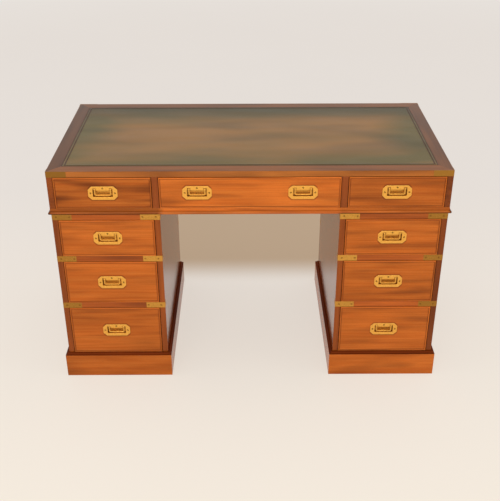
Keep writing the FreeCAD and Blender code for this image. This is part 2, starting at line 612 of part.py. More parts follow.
def build_drawer(name, x, z, face, back_wall, tail_count, pulls):
    left, right = f"({x[0]} + drawer_side_gap)", f"({x[1]} - drawer_side_gap)"
    low, high = f"({z[0]} + drawer_rest_gap)", f"({z[1]} - drawer_top_gap)"
    middle_x, middle_z = f"(({left} + {right}) / 2)", f"(({z[0]} + {z[1]}) / 2)"
    front_back = f"({face} + front_thickness)"
    rear = f"({back_wall} - drawer_back_gap)"
    side_top = f"({high} - drawer_side_drop)"
    bottom_low = f"({low} + drawer_bottom_rise)"
    bottom_top = f"({bottom_low} + drawer_bottom_thickness)"
    inner_left, inner_right = f"({left} + drawer_side_thickness)", f"({right} - drawer_side_thickness)"

    fittings, mortises = [], []
    for bail_name, shift in pulls:
        parts, mortise = build_pull(f"{name}_{len(mortises)}", bail_name, f"({middle_x} + ({shift}))",
                                    middle_z, face)
        fittings += parts
        mortises.append(mortise)
    node(f"{name}_pull", fittings)

    bottom = board(f"{name}_bottom", (f"{inner_left} - groove_depth", f"{inner_right} + groove_depth"),
                   (f"{front_back} - groove_depth", rear), (bottom_low, bottom_top))
    spacing = f"(({side_top} - {low}) / {tail_count})"
    tails, box = [], []
    for span in ((left, inner_left), (inner_right, right)):
        plain = board(f"{name}_side", span, (front_back, rear), (low, side_top))
        own_tails = []
        for index in range(tail_count):
            tail = doc.addObject("Part::Wedge", f"{name}_tail")
            centre = f"({low} + ({2 * index + 1}) * {spacing} / 2)"
            wide, narrow = (around(centre, f"{share} * {spacing} / 2")
                            for share in ("tail_end_share", "tail_root_share"))
            bind(tail, Xmin=span[0], X2min=span[0], Xmax=span[1], X2max=span[1])
            bind(tail, Ymin=f"{front_back} - tail_length", Ymax=front_back)
            bind(tail, Zmin=wide[0], Zmax=wide[1], Z2min=narrow[0], Z2max=narrow[1])
            own_tails.append(tail)
        box.append(cut(f"{name}_grooved_side", fuse(f"{name}_tailed_side", [plain] + own_tails), [bottom]))
        tails += own_tails
    box.append(board(f"{name}_back", (inner_left, inner_right), (f"{rear} - drawer_side_thickness", rear),
                     (bottom_top, f"{side_top} - drawer_back_drop")))
    node(f"{name}_box", box + [bottom])

    rebate = f"({face} + cock_bead_seat)"
    blank = fuse(f"{name}_front_blank", [
        board(f"{name}_front_core", (left, right), (rebate, front_back), (low, high)),
        board(f"{name}_front_face", (f"{left} + cock_bead_width", f"{right} - cock_bead_width"),
              (face, rebate), (f"{low} + cock_bead_width", f"{high} - cock_bead_width"))])
    sockets = fuse(f"{name}_sockets", tails + [bottom])
    front = cut(f"{name}_front_board", blank, [sockets] + mortises)
    beads = mitred_ring(f"{name}_cock_bead", (middle_x, face, f"(({low} + {high}) / 2)"),
                        f"(({right} - {left}) / 2)", f"(({high} - {low}) / 2)", "cock_bead_width",
                        "-cock_bead_seat", "cock_bead_proud", TOWARDS["front"])
    node(f"{name}_front", [front] + beads)


def build_drawers(sides, frieze_openings):
    frieze_z = (FRIEZE_FLOOR, FRIEZE_CEILING)
    for name, x in zip(("frieze_left", "frieze_centre", "frieze_right"), frieze_openings):
        pulls = [(f"{name}_bail", "0")]
        if name == "frieze_centre":
            pulls = [("frieze_centre_left_bail", f"centre_pull_inset - {PEDESTAL_INNER}"),
                     ("frieze_centre_right_bail", f"{PEDESTAL_INNER} - centre_pull_inset")]
        build_drawer(f"{name}_drawer", x, frieze_z, f"(-{HALF_DEPTH})", FRIEZE_BACK_FACE, 3, pulls)
    levels = {
        "upper": ((UPPER_FLOOR, UPPER_CEILING), 4),
        "middle": ((MIDDLE_FLOOR, MIDDLE_CEILING), 4),
        "lower": ((LOWER_FLOOR, LOWER_CEILING), 5),
    }
    for side, sign in sides.items():
        x = around(f"({sign} * {PEDESTAL_CENTRE})", "pedestal_width / 2 - side_thickness")
        for level, (z, tail_count) in levels.items():
            name = f"{side}_{level}"
            build_drawer(f"{name}_drawer", x, z, f"(-{PEDESTAL_BACK})", f"({PEDESTAL_BACK} - back_thickness)",
                         tail_count, [(f"{name}_bail", "0")])


def check_and_write():
    """Stops at anything that failed to build, then writes each sub-part to its own file."""
    doc.recompute()
    failed = [item.Label for item in doc.Objects if {"Invalid", "Error"} & set(item.State)]
    failed += [item.Label for item in nodes
               if item.Shape.isNull() or not item.Shape.isValid() or not item.Shape.Solids]
    if failed:
        raise RuntimeError("failed to build: " + ", ".join(failed))
    os.makedirs("parts", exist_ok=True)
    for item in nodes:
        item.Shape.exportStep(f"parts/{item.Label}.step")


PEDESTAL_SIDES = {"left": -1, "right": 1}
FRIEZE_OPENINGS = (
    (f"(-{END_INNER})", f"(-{DIVIDER_OUTER})"),
    (f"(-{PEDESTAL_INNER})", PEDESTAL_INNER),
    (DIVIDER_OUTER, END_INNER),
)
build_top()
build_frieze(FRIEZE_OPENINGS)
build_pedestals(PEDESTAL_SIDES)
build_drawers(PEDESTAL_SIDES, FRIEZE_OPENINGS)
check_and_write()
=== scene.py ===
import json

import bpy
import numpy as np
from mathutils import Matrix, Vector


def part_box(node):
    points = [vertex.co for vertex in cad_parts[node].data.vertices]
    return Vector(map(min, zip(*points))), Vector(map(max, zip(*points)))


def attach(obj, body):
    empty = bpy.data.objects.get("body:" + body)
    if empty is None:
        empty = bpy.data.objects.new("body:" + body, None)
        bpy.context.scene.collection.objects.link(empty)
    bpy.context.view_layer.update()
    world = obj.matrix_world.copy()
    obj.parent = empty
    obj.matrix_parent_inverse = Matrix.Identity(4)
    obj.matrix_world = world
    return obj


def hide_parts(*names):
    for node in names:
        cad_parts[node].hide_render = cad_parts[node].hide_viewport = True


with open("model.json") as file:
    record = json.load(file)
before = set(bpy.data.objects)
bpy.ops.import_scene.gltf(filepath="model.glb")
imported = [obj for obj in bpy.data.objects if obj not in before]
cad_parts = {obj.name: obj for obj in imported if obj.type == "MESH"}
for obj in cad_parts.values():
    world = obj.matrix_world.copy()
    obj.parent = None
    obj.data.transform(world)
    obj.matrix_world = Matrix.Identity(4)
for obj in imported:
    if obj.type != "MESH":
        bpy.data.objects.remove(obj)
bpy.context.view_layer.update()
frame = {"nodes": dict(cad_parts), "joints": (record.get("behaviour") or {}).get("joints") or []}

bl_info = {
    "name": "Campaign Desk",
    "version": (1, 0, 0),
    "blender": (4, 5, 0),
    "location": "View3D > Sidebar > Desk",
    "description": "Dresses a campaign desk in polished mahogany, brass and antiqued leather",
    "category": "Object",
}

# Names of the desk's pieces, as the frame has them

PEDESTALS = ("left", "right")
LEVELS = ("lower", "middle", "upper")
FRIEZE_DRAWERS = ("frieze_left", "frieze_centre", "frieze_right")
DRAWERS = FRIEZE_DRAWERS + tuple(f"{side}_{level}" for side in PEDESTALS for level in LEVELS)

MM = 0.001
SIGNS = (-1, 1)
CORNERS = np.array([(x, y) for x in SIGNS for y in SIGNS])

# How light each drawer front was cut: 0 has the plain colours, and below it is darker

FRONT_TONES = {
    "frieze_left": -0.28, "frieze_centre": 0.75, "frieze_right": 0.0,
    "left_upper": 0.5, "left_middle": 0.3, "left_lower": 0.1,
    "right_upper": 0.3, "right_middle": 0.05, "right_lower": 0.3,
}

# How strongly the dark bands of the figure show in each drawer front, and in other figured wood

FRONT_FIGURES = {
    "frieze_left": 1.4, "frieze_centre": 0.6, "frieze_right": 0.6,
    "left_upper": 0.7, "left_middle": 0.5, "left_lower": 0.6,
    "right_upper": 0.6, "right_middle": 0.8, "right_lower": 0.5,
}
PLAIN_FIGURE = 0.7


def linear(code):
    """An sRGB hex colour as linear red, green, blue and alpha."""
    srgb = np.array([int(code[place:place + 2], 16) for place in (1, 3, 5)]) / 255
    curve = np.where(srgb <= 0.04045, srgb / 12.92, ((srgb + 0.055) / 1.055) ** 2.4)
    return (*curve.tolist(), 1.0)


def number(name, default, description, **limits):
    """A value that a user can change."""
    return bpy.props.FloatProperty(name=name, description=description, default=default, **limits)


def length(name, millimetres, description):
    """A size of the desk that a user can change, given in millimetres."""
    return number(name, millimetres * MM, description, min=0, unit="LENGTH", precision=5)


def colour(name, code, description):
    """A colour of the desk that a user can change, given as sRGB hex."""
    return bpy.props.FloatVectorProperty(name=name, description=description, default=linear(code),
                                         size=4, min=0, max=1, subtype="COLOR")


class DeskSizes(bpy.types.PropertyGroup):
    """Sizes of the visible pieces that the frame's boxes don't give"""

    arris: length("Arris", 0.9, "Rounding of the boards' edges")
    top_arris: length("Top arris", 1.6, "Rounding of the upper edge of the top and the plinths")
    base_member: length("Base member", 60, "Width of the members under the frieze drawers")
    stop_inset: length("Stop inset", 50, "Drawer stops from the sides of the opening")
    stop_width: length("Stop width", 30, "Drawer stops along the front")
    stop_depth: length("Stop depth", 14, "Drawer stops from front to back")
    stop_height: length("Stop height", 5, "Drawer stops above the frame")
    stop_gap: length("Stop gap", 0.3, "Room between a stop and its drawer front")
    room_over: length("Room over", 1.5, "Room over a drawer")
    room_under: length("Room under", 0.3, "Room under a drawer")
    room_beside: length("Room beside", 1, "Room beside a drawer")
    plinth_board: length("Plinth board", 22, "Thickness of the plinth boards")
    glue_block: length("Glue block", 26, "Glue blocks in the plinths, seen from above")
    glue_block_height: length("Glue block height", 60, "Glue blocks from the pedestal down")
    moulding_lip: length("Moulding lip", 1.5, "Square edge below the hollow of the plinth moulding")
    cock_bead: length("Cock bead", 4, "Width of the bead round a drawer front")
    cock_bead_proud: length("Cock bead proud", 1.6, "Bead in front of the drawer's face")
    cock_bead_seat: length("Cock bead seat", 6, "Bead behind the drawer's face")
    side_reveal: length("Side reveal", 0.25, "Front board inside its dovetailed sides")
    pocket_depth: length("Pocket depth", 13.5, "Hollow in a drawer front for its finger cup")
    leather_line: length("Leather line", 9, "Tooled line from the edge of the leather")
    leather_line_width: length("Leather line width", 3.2, "Width of that line")
    leather_line_depth: length("Leather line depth", 0.5, "Depth of that line")
    strap_length: length("Strap length", 61, "Brass straps along the front")
    strap_return: length("Strap return", 22, "Brass straps round the corner")
    strap_thickness: length("Strap thickness", 1.2, "Brass straps through the wood")
    strap_proud: length("Strap proud", 0.25, "Brass straps above the wood")
    strap_bend: length("Strap bend", 1.4, "Outer rounding of a strap's bend")
    strap_screw_inset: length("Strap screw inset", 13, "First screw of a strap from the corner")
    strap_screw_end: length("Strap screw end", 7, "Last screw of a strap from its end")
    screw_radius: length("Screw radius", 3, "Heads of the brass screws")
    screw_slot: length("Screw slot", 0.9, "Width of the slot across a screw head")
    plate_width: length("Plate width", 89, "Pull plate along the front")
    plate_corner: length("Plate corner", 11, "Clipped corners of a pull plate")
    plate_thickness: length("Plate thickness", 2.4, "Pull plate from front to back")
    plate_bevel: length("Plate bevel", 0.7, "Rounded edge of a pull plate")
    plate_screw_reach: length("Plate screw reach", 37, "Side screws from the plate's middle")
    plate_screw_rise: length("Plate screw rise", 16, "Top screw above the plate's middle")
    cup_width: length("Cup width", 60, "Finger cup along the front")
    cup_height: length("Cup height", 21, "Finger cup from bottom to top")
    cup_rise: length("Cup rise", 8.5, "Top of the finger cup above the plate's middle")
    cup_depth: length("Cup depth", 11, "Finger cup behind the plate's face")
    cup_wall: length("Cup wall", 1.6, "Wall of the finger cup")
    ear_width: length("Ear width", 10, "Slot for an arm of the bail")
    ear_height: length("Ear height", 7, "That slot above the cup")
    bail_width: length("Bail width", 52, "Bail across its arms")
    bail_arm: length("Bail arm", 4.5, "Width of the bail's arms")
    bail_bar: length("Bail bar", 4, "Height of the bail's bar")
    bail_thickness: length("Bail thickness", 4.5, "Bail from front to back")
    bail_eye: length("Bail eye", 2.4, "Bail's arms above the pivot")
    pin_radius: length("Pin radius", 1.25, "Pins that the bail swings on")


class DeskColours(bpy.types.PropertyGroup):
    """Colours of the desk's woods, brass and leather"""

    front_light: colour("Front, light", "#c36d2a", "Lighter ribbons of the drawer fronts and plinths")
    front_dark: colour("Front, dark", "#aa5016", "Darker ribbons of the drawer fronts and plinths")
    front_vein: colour("Front, veins", "#4f200b", "Dark bands and pores of the drawer fronts")
    case_light: colour("Case, light", "#a2511a", "Lighter grain of the case")
    case_dark: colour("Case, dark", "#823a0c", "Darker grain of the case")
    case_vein: colour("Case, veins", "#471e0a", "Bands and pores of the case")
    border_light: colour("Border, light", "#ae6626", "Lighter grain of the top's border, faded by the sun")
    border_dark: colour("Border, dark", "#96521c", "Darker grain of the top's border")
    border_vein: colour("Border, veins", "#52280f", "Bands and pores of the top's border")
    moulding_light: colour("Moulding, light", "#80340a", "Lighter grain of the plinth mouldings")
    moulding_dark: colour("Moulding, dark", "#521d04", "Darker grain of the plinth mouldings")
    lining_light: colour("Lining, light", "#c08f5c", "Lighter grain of the drawer linings")
    lining_dark: colour("Lining, dark", "#9c6a3c", "Darker grain of the drawer linings")
    carcase_light: colour("Carcase, light", "#b07a48", "Lighter grain of the hidden carcase wood")
    carcase_dark: colour("Carcase, dark", "#8a5830", "Darker grain of the hidden carcase wood")
    brass_bright: colour("Brass, bright", "#f8b755", "Polished brass of the pull plates")
    brass_aged: colour("Brass, aged", "#a27230", "Brass that has toned down in hollows and straps")
    # The grimy colour also serves as painted shade on the screw heads
    brass_grimy: colour("Brass, grimy", "#5e3e1a", "Brass with old polish in its slots and corners")
    leather_olive: colour("Leather, olive", "#6e6037", "Green ground of the writing leather")
    leather_tan: colour("Leather, tan", "#a07443", "Rubbed patches of the writing leather")
    leather_edge: colour("Leather, edge", "#474232", "Leather along its edges")
    floor: colour("Floor", "#fdf3e4", "Pale floor in front of the desk")
    floor_far: colour("Floor, far", "#ede6e0", "Floor far behind the desk")
    floor_shaded: colour("Floor, shaded", "#c1a98f", "Floor close behind the desk, in its shade")
    backdrop: colour("Backdrop", "#f0eeea", "Pale surroundings")


class DeskStage(bpy.types.PropertyGroup):
    """Camera and light"""

    camera_place: bpy.props.FloatVectorProperty(
        name="Camera place", description="Where the camera stands",
        default=(-0.01143, -2.56421, 1.73225), size=3, subtype="TRANSLATION", unit="LENGTH")
    yaw: number("Yaw", np.radians(0.28), "Camera's turn towards the right", subtype="ANGLE")
    pitch: number("Pitch", np.radians(29.04), "Camera's tilt downwards", subtype="ANGLE")
    roll: number("Roll", np.radians(0.10), "Camera's turn about its view", subtype="ANGLE")
    lens: number("Lens", 59.25, "Focal length in millimetres", unit="CAMERA")
    ambient: number("Ambient", 0.78, "Strength of the surroundings' light", min=0)
    key_power: number("Key power", 120, "Power of the large lamp over the camera", unit="POWER")
    fill_power: number("Fill power", 20, "Power of the lamps at both sides", unit="POWER")
    floor_glow: number("Floor glow", 0.7, "Share of the floor's look that no shadow darkens", min=0, max=1)


# Surfaces

def along(vectors):
    """Vectors at unit length."""
    return vectors / np.maximum(np.linalg.norm(vectors, axis=-1, keepdims=True), 1e-12)


def joined(*coordinates):
    """Points from their coordinates, each a number or an array."""
    return np.stack(np.broadcast_arrays(*coordinates), axis=-1)


def lifted(plan, height):
    """Points of a plan at the given heights. Normals are lifted in the same way."""
    return joined(plan[..., 0], plan[..., 1], height)


def rounded(corners, cuts, steps=3):
    """A closed outline with rounded corners, and its outward normals, for corners that run anticlockwise.

    Each corner is a circular arc that starts one cut before it and ends one cut after. It is the
    rational quadratic curve over those three points, the corner weighted by the cosine of half its turn."""
    corners = np.asarray(corners, float)
    before = along(np.roll(corners, 1, axis=-2) - corners)
    after = along(np.roll(corners, -1, axis=-2) - corners)
    weight = np.sqrt((1 - np.sum(before * after, axis=-1)) / 2)[..., None, None]
    cuts = np.broadcast_to(cuts, corners.shape[:-1])[..., None]
    places = [place[..., None, :] for place in (corners + cuts * before, corners, corners + cuts * after)]
    share = np.linspace(0, 1, steps + 1)[:, None]
    terms = (1 - share) ** 2, 2 * share * (1 - share) * weight, share ** 2
    slopes = -2 * (1 - share), 2 * (1 - 2 * share) * weight, 2 * share
    top, top_slope = (sum(part * place for part, place in zip(parts, places)) for parts in (terms, slopes))
    below = sum(terms)
    tangent = along(top_slope * below - top * sum(slopes))
    shape = corners.shape[:-2] + (-1, 2)
    return (top / below).reshape(shape), joined(tangent[..., 1], -tangent[..., 0]).reshape(shape)


def oblong(low_a, low_b, high_a, high_b):
    """The four corners of a rectangle, anticlockwise, for numbers or arrays of them."""
    low_a, low_b, high_a, high_b = np.broadcast_arrays(low_a, low_b, high_a, high_b)
    pairs = (low_a, low_b), (high_a, low_b), (high_a, high_b), (low_a, high_b)
    return np.stack([joined(*pair) for pair in pairs], axis=-2)


# Marks of wood that no polish has gathered on: far inside the bead, far from a plate, with a plain figure

CLEAN_MARKS = {"from_edge": -1.0, "from_plate": 1.0, "figure": PLAIN_FIGURE}


class Skin:
    """Surfaces gathered for one piece. Points carry wood coordinates, a tone and marks for the materials."""

    def __init__(self):
        self.points, self.grain, self.tone = [], [], []
        self.corners, self.counts, self.normals = [], [], []
        self.marks = {}

    def add(self, points, faces, normals, grain=None, tone=0.0):
        """Takes points (V, 3), index arrays of faces with one width each, and a normal for every corner."""
        first = sum(map(len, self.points))
        self.points.append(points)
        self.grain.append(points if grain is None else grain.reshape(-1, 3))
        self.tone.append(np.broadcast_to(tone, len(points)))
        for block, corner_normals in zip(faces, normals):
            self.corners.append((block + first).ravel())
            self.counts.append(np.full(len(block), block.shape[1]))
            self.normals.append(corner_normals.reshape(-1, 3))

    def tubes(self, rings, normals=None, grain=None, tone=0.0, caps=(True, True)):
        """Skins tubes: rings[n, r, p] is point p of ring r of tube n, and a single tube needs no n. Each ring
        closes on itself, and flat caps close the ends. A tube whose signed volume is negative, as a mirrored
        one's is, is turned."""
        rings = rings.reshape(-1, *rings.shape[-3:])
        count, rows, width = rings.shape[:3]
        flat = rings.reshape(-1, 3)
        index = np.arange(len(flat)).reshape(count, rows, width)
        ahead = np.roll(index, -1, axis=2)
        quads = joined(index[:, :-1], ahead[:, :-1], ahead[:, 1:], index[:, 1:])
        ends = np.stack((index[:, 0, ::-1], index[:, -1]), axis=1)
        corners = flat[quads]
        facing = np.cross(corners[..., 2, :] - corners[..., 0, :], corners[..., 3, :] - corners[..., 1, :])
        end_facing = np.cross(flat[ends], np.roll(flat[ends], -1, axis=2)).sum(axis=2)
        volume = np.sum(facing * corners.mean(axis=-2), axis=(1, 2, 3))
        volume += np.sum(end_facing * flat[ends].mean(axis=2), axis=(1, 2))
        inverted = (volume < 0)[:, None, None]
        quads = np.where(inverted[..., None], quads[..., ::-1], quads)
        ends = np.where(inverted, ends[..., ::-1], ends)
        turn = np.where(inverted, -1, 1)
        if normals is None:
            side = np.repeat(along(facing * turn[..., None])[..., None, :], 4, axis=-2)
        else:
            side = np.broadcast_to(normals, rings.shape).reshape(-1, 3)[quads]
        kept = np.flatnonzero(caps)
        end_side = np.repeat(along(end_facing * turn)[:, kept, None], width, axis=2)
        self.add(flat, [quads.reshape(-1, 4), ends[:, kept].reshape(-1, width)], [side, end_side], grain,
                 np.broadcast_to(tone, rings.shape[:3]).ravel())

    def keep_clean(self):
        """Gives the points that follow the marked ones the marks of clean wood."""
        count = sum(map(len, self.points))
        for name, value in CLEAN_MARKS.items():
            marked = self.marks.get(name, np.empty((0, 3)))
            self.marks[name] = np.concatenate((marked, np.full((count - len(marked), 3), value)))

    def mesh_object(self, name, material):
        """The piece as one mesh object at the origin."""
        points, corners = np.concatenate(self.points), np.concatenate(self.corners)
        counts = np.concatenate(self.counts)
        mesh = bpy.data.meshes.new(name)
        mesh.vertices.add(len(points))
        mesh.vertices.foreach_set("co", points.ravel().astype(np.float32))
        mesh.loops.add(len(corners))
        mesh.loops.foreach_set("vertex_index", corners.astype(np.int32))
        mesh.polygons.add(len(counts))
        mesh.polygons.foreach_set("loop_start", (np.cumsum(counts) - counts).astype(np.int32))
        mesh.update(calc_edges=True)
        marks = {"grain": np.concatenate(self.grain), **self.marks}
        for key, values in marks.items():
            attribute = mesh.attributes.new(key, "FLOAT_VECTOR", "POINT")
            attribute.data.foreach_set("vector", values.ravel().astype(np.float32))
        attribute = mesh.attributes.new("tone", "FLOAT", "POINT")
        attribute.data.foreach_set("value", np.concatenate(self.tone).astype(np.float32))
        mesh.normals_split_custom_set(np.concatenate(self.normals))
        mesh.materials.append(material)
        piece = bpy.data.objects.new(name, mesh)
        bpy.context.scene.collection.objects.link(piece)
        return piece


def settle(skin, name, body, look, node):
    """Makes the piece in its finish, lets it ride on its body, and hides the frame node that it stands for.
    """
    piece = skin.mesh_object(name, finish(look))
    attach(piece, body)
    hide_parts(node)


def span(node):
    """The lowest and highest corner of a frame node, as arrays."""
    return tuple(np.array(corner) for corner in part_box(node))


def draw(name):
    """A source of random numbers that is the same at every run, one for each piece."""
    return np.random.default_rng(sum((place + 1) * ord(letter) for place, letter in enumerate(name)))


# Boards are cut at random from this many metres of timber, and their tones spread a little by chance.

TIMBER_ROOM = 30.0
BOARD_TILTS = np.radians((-90, -45, 0, 0, 45, 90))
PLAN_SHARE = 1.6
BOARD_SPREAD = 0.25
MEMBER_SPREAD = 0.2
MITRE_JOINT = 0.05 * MM


def boards(skin, lows, highs, rounding, chance, lie=None, tone=0.0, spread=BOARD_SPREAD):
    """Rounded boards between low and high corners.

    A rectangle with rounded corners is carried up a stack of rings. The lowest and highest rings are
    drawn in along a quarter circle, and the normals turn with it. lie gives the axes along, across and
    through the grain; without it the grain follows the longest side."""
    lows, highs = np.atleast_2d(lows).astype(float), np.atleast_2d(highs).astype(float)
    outline, outward = rounded(oblong(*lows.T[:2], *highs.T[:2]), PLAN_SHARE * rounding)
    inset = rounding * (1 - np.cos(BOARD_TILTS))
    upper = np.arange(len(BOARD_TILTS)) >= len(BOARD_TILTS) // 2
    level = np.where(upper, highs[:, 2:] - rounding, lows[:, 2:] + rounding) + rounding * np.sin(BOARD_TILTS)
    rings = lifted(outline[:, None] - inset[:, None, None] * outward[:, None], level[..., None])
    normals = lifted(np.cos(BOARD_TILTS)[:, None, None] * outward[:, None], np.sin(BOARD_TILTS)[:, None])
    order = np.argsort(lows - highs, axis=1) if lie is None else np.broadcast_to(lie, lows.shape)
    grain = np.take_along_axis(rings, order[:, None, None, :], axis=3)
    grain = grain + chance.uniform(0, TIMBER_ROOM, (len(lows), 1, 1, 3))
    tone = tone + chance.uniform(-spread, spread, (len(lows), 1, 1))
    skin.tubes(rings, normals, grain, tone)


def at_ends(low, high, inner_low, inner_high):
    """Low and high corners of the two boards of a box that lie left and right of its inner stretch."""
    return (low, (inner_high, *low[1:])), ((inner_low, *high[1:]), high)


# Ways out from and along a rectangle's sides, the front first, and the axes of one that stands upright

OUTWARD = np.array(((0, -1), (1, 0), (0, 1), (-1, 0)), float)
FORWARD = np.array(((1, 0), (0, 1), (-1, 0), (0, -1)), float)
UPRIGHT = np.array(((1, 0, 0), (0, 0, 1), (0, -1, 0)), float)


def mitred_members(skin, centre, half, section, chance, tone=0.0, axes=np.eye(3), stops=SIGNS):
    """Four mitred members round a rectangle.

    The section's profile, as distances outward and up, is carried along each side from mitre to mitre,
    so a point that lies further out also runs further along. axes turns the rectangle's frame, and stops
    are the places along a member, from -1 to 1, where its tone is given."""
    profile, normals = section
    out, up = profile.T
    across, run = np.abs(OUTWARD @ half), np.abs(FORWARD @ half)
    ends = np.array(stops)[:, None] * (run[:, None, None] + out - MITRE_JOINT)
    shift = OUTWARD[:, None, None] * (across[:, None] + out)[:, None, :, None]
    rings = lifted(shift + FORWARD[:, None, None] * ends[..., None], up) @ axes + centre
    leaning = lifted(OUTWARD[:, None, None] * normals[:, :1], normals[:, 1]) @ axes
    grain = joined(ends, out, up) + chance.uniform(0, TIMBER_ROOM, (len(OUTWARD), 1, 1, 3))
    tone = tone + chance.uniform(-MEMBER_SPREAD, MEMBER_SPREAD, (len(OUTWARD), 1, 1))
    skin.tubes(rings, leaning, grain, tone)


def long_rail(skin, low, high, rounding, stops, tones, chance):
    """A rail along the desk: a rectangle with rounded corners, carried through the stops that give its
    tone."""
    section, outward = rounded(oblong(*low[1:], *high[1:]), rounding)
    middle, reach = (low[0] + high[0]) / 2, (high[0] - low[0]) / 2
    places = (middle + reach * np.array(stops))[:, None]
    rings = joined(places, *section.T)
    grain = rings[..., (0, 2, 1)] + chance.uniform(0, TIMBER_ROOM, 3)
    skin.tubes(rings, joined(0 * places, *outward.T), grain, np.array(tones)[:, None])


STRAP_BEND_STEPS = 5


def straps(skin, corner, sign, low, high, sizes, tone):
    """Brass straps bent round upright corners.

    The strap's section is carried along the long leg, round a quarter circle and along the return.
    Signs mirror the path into each corner of the desk."""
    bend = np.linspace(np.pi / 2, 0, STRAP_BEND_STEPS + 1)
    turning = joined(np.cos(bend), np.sin(bend))
    outward = np.concatenate((turning[:1], turning, turning[-1:]))[:, None]
    path = np.concatenate((((-sizes.strap_length, 0),), sizes.strap_bend * (turning - 1),
                           ((0, -sizes.strap_return),)))
    edge = sizes.strap_proud
    corners = oblong(-sizes.strap_thickness, low, edge, high)
    section, leaning = (part[:, None] for part in rounded(corners, (edge / 4, edge, edge, edge / 4), 2))
    mirror = sign[:, None, None]
    plan = corner[:, None, None] + mirror * (path[:, None] + outward * section[..., :1])
    flat = mirror * outward * leaning[..., :1]
    skin.tubes(lifted(plan, section[..., 1]), lifted(flat, leaning[..., 1]), tone=tone)


SCREW_ROWS = np.radians((-80, -60, -40, -22))
SCREW_RIM_SHARE = 0.12
SCREW_SINK_SHARE = 0.5


def screw_heads(skin, centres, facing, sizes, chance, tone):
    """Slotted screw heads.

    A head is rows parallel to its slot. A row's half width follows the circle, and the two rows in
    the middle drop into the slot. Each head is turned by chance, as a driver leaves it."""
    radius, slot = sizes.screw_radius, sizes.screw_slot / 2
    side = radius * np.sin(SCREW_ROWS)
    row = np.concatenate((side, (-slot, -slot, slot, slot), -side[::-1]))
    half = np.sqrt(radius ** 2 - row ** 2)
    middle = len(row) // 2
    floor = np.zeros(len(row))
    floor[middle - 1:middle + 1] = -2 * slot
    rim, sink = SCREW_RIM_SHARE * radius, -SCREW_SINK_SHARE * radius
    reach = joined(-half, half, half, half - rim, rim - half, -half)
    height = joined(sink, sink, floor - rim, floor, floor, floor - rim) + rim / 2
    turn = chance.uniform(0, np.pi, len(centres))
    helper = np.where(np.abs(facing[:, 2:]) > 0.5, (1.0, 0, 0), (0, 0, 1.0))
    first = along(np.cross(helper, facing))
    second = np.cross(facing, first)
    slotwise = np.cos(turn)[:, None] * first + np.sin(turn)[:, None] * second
    crosswise = np.cross(facing, slotwise)
    rings = (centres[:, None, None] + reach[..., None] * slotwise[:, None, None]
             + row[:, None, None] * crosswise[:, None, None] + height[..., None] * facing[:, None, None])
    skin.tubes(rings, tone=tone)


def circle(count):
    """Points of a unit circle, as two coordinates."""
    angle = np.linspace(0, 2 * np.pi, count, endpoint=False)
    return np.cos(angle), np.sin(angle)


ROUND_POINTS = 20


def turned(skin, centre, offsets, radii, tone):
    """A round part turned about the X axis: circles of the given radii at the given offsets."""
    outward = joined(0, *circle(ROUND_POINTS))
    rings = centre + np.reshape(radii, (-1, 1, 1)) * outward
    rings[..., 0] += np.reshape(offsets, (-1, 1))
    skin.tubes(rings, outward, tone=tone)


# Materials

def add(tree, kind, inputs=(), **settings):
    """Adds a node, sets its own settings, and gives its inputs, in order or by name, values or links. A
    node among them is linked by its first output in use."""
    node = tree.nodes.new("ShaderNode" + kind)
    for name, value in settings.items():
        setattr(node, name, value)
    for key, value in inputs.items() if isinstance(inputs, dict) else enumerate(inputs):
        if isinstance(value, bpy.types.Node):
            value = next(output for output in value.outputs if output.enabled)
        if isinstance(value, bpy.types.NodeSocket):
            tree.links.new(value, node.inputs[key])
        else:
            node.inputs[key].default_value = value
    return node


def cells(tree, place, *millimetres):
    """Coordinates that count a pattern's cells, from the cells' sizes along three axes in millimetres."""
    return add(tree, "VectorMath", (place, [1 / (size * MM) for size in millimetres]), operation="MULTIPLY")


def empty_tree(owner):
    """The node tree of a new material or world, without its first nodes."""
    owner.use_nodes = True
    owner.node_tree.nodes.clear()
    return owner.node_tree


def show(tree, base, height, relief, roughness, **constants):
    """Closes a material: the shader with its constant sockets, a bump from the height, and the output."""
    bump = add(tree, "Bump", {"Height": height, "Distance": relief, "Strength": 1.0})
    inputs = {"Base Color": base, "Roughness": roughness, "Normal": bump}
    inputs.update({name.replace("_", " "): value for name, value in constants.items()})
    add(tree, "OutputMaterial", {"Surface": add(tree, "BsdfPrincipled", inputs)})


# How far the timber's ribbons sway, how dark its streaks and pores are at most, and how deep they lie

SWAY = 4 * MM
STREAK_SHARE = 0.2
PORE_SHARE = 0.25
PORE_DEPTH = 0.05 * MM


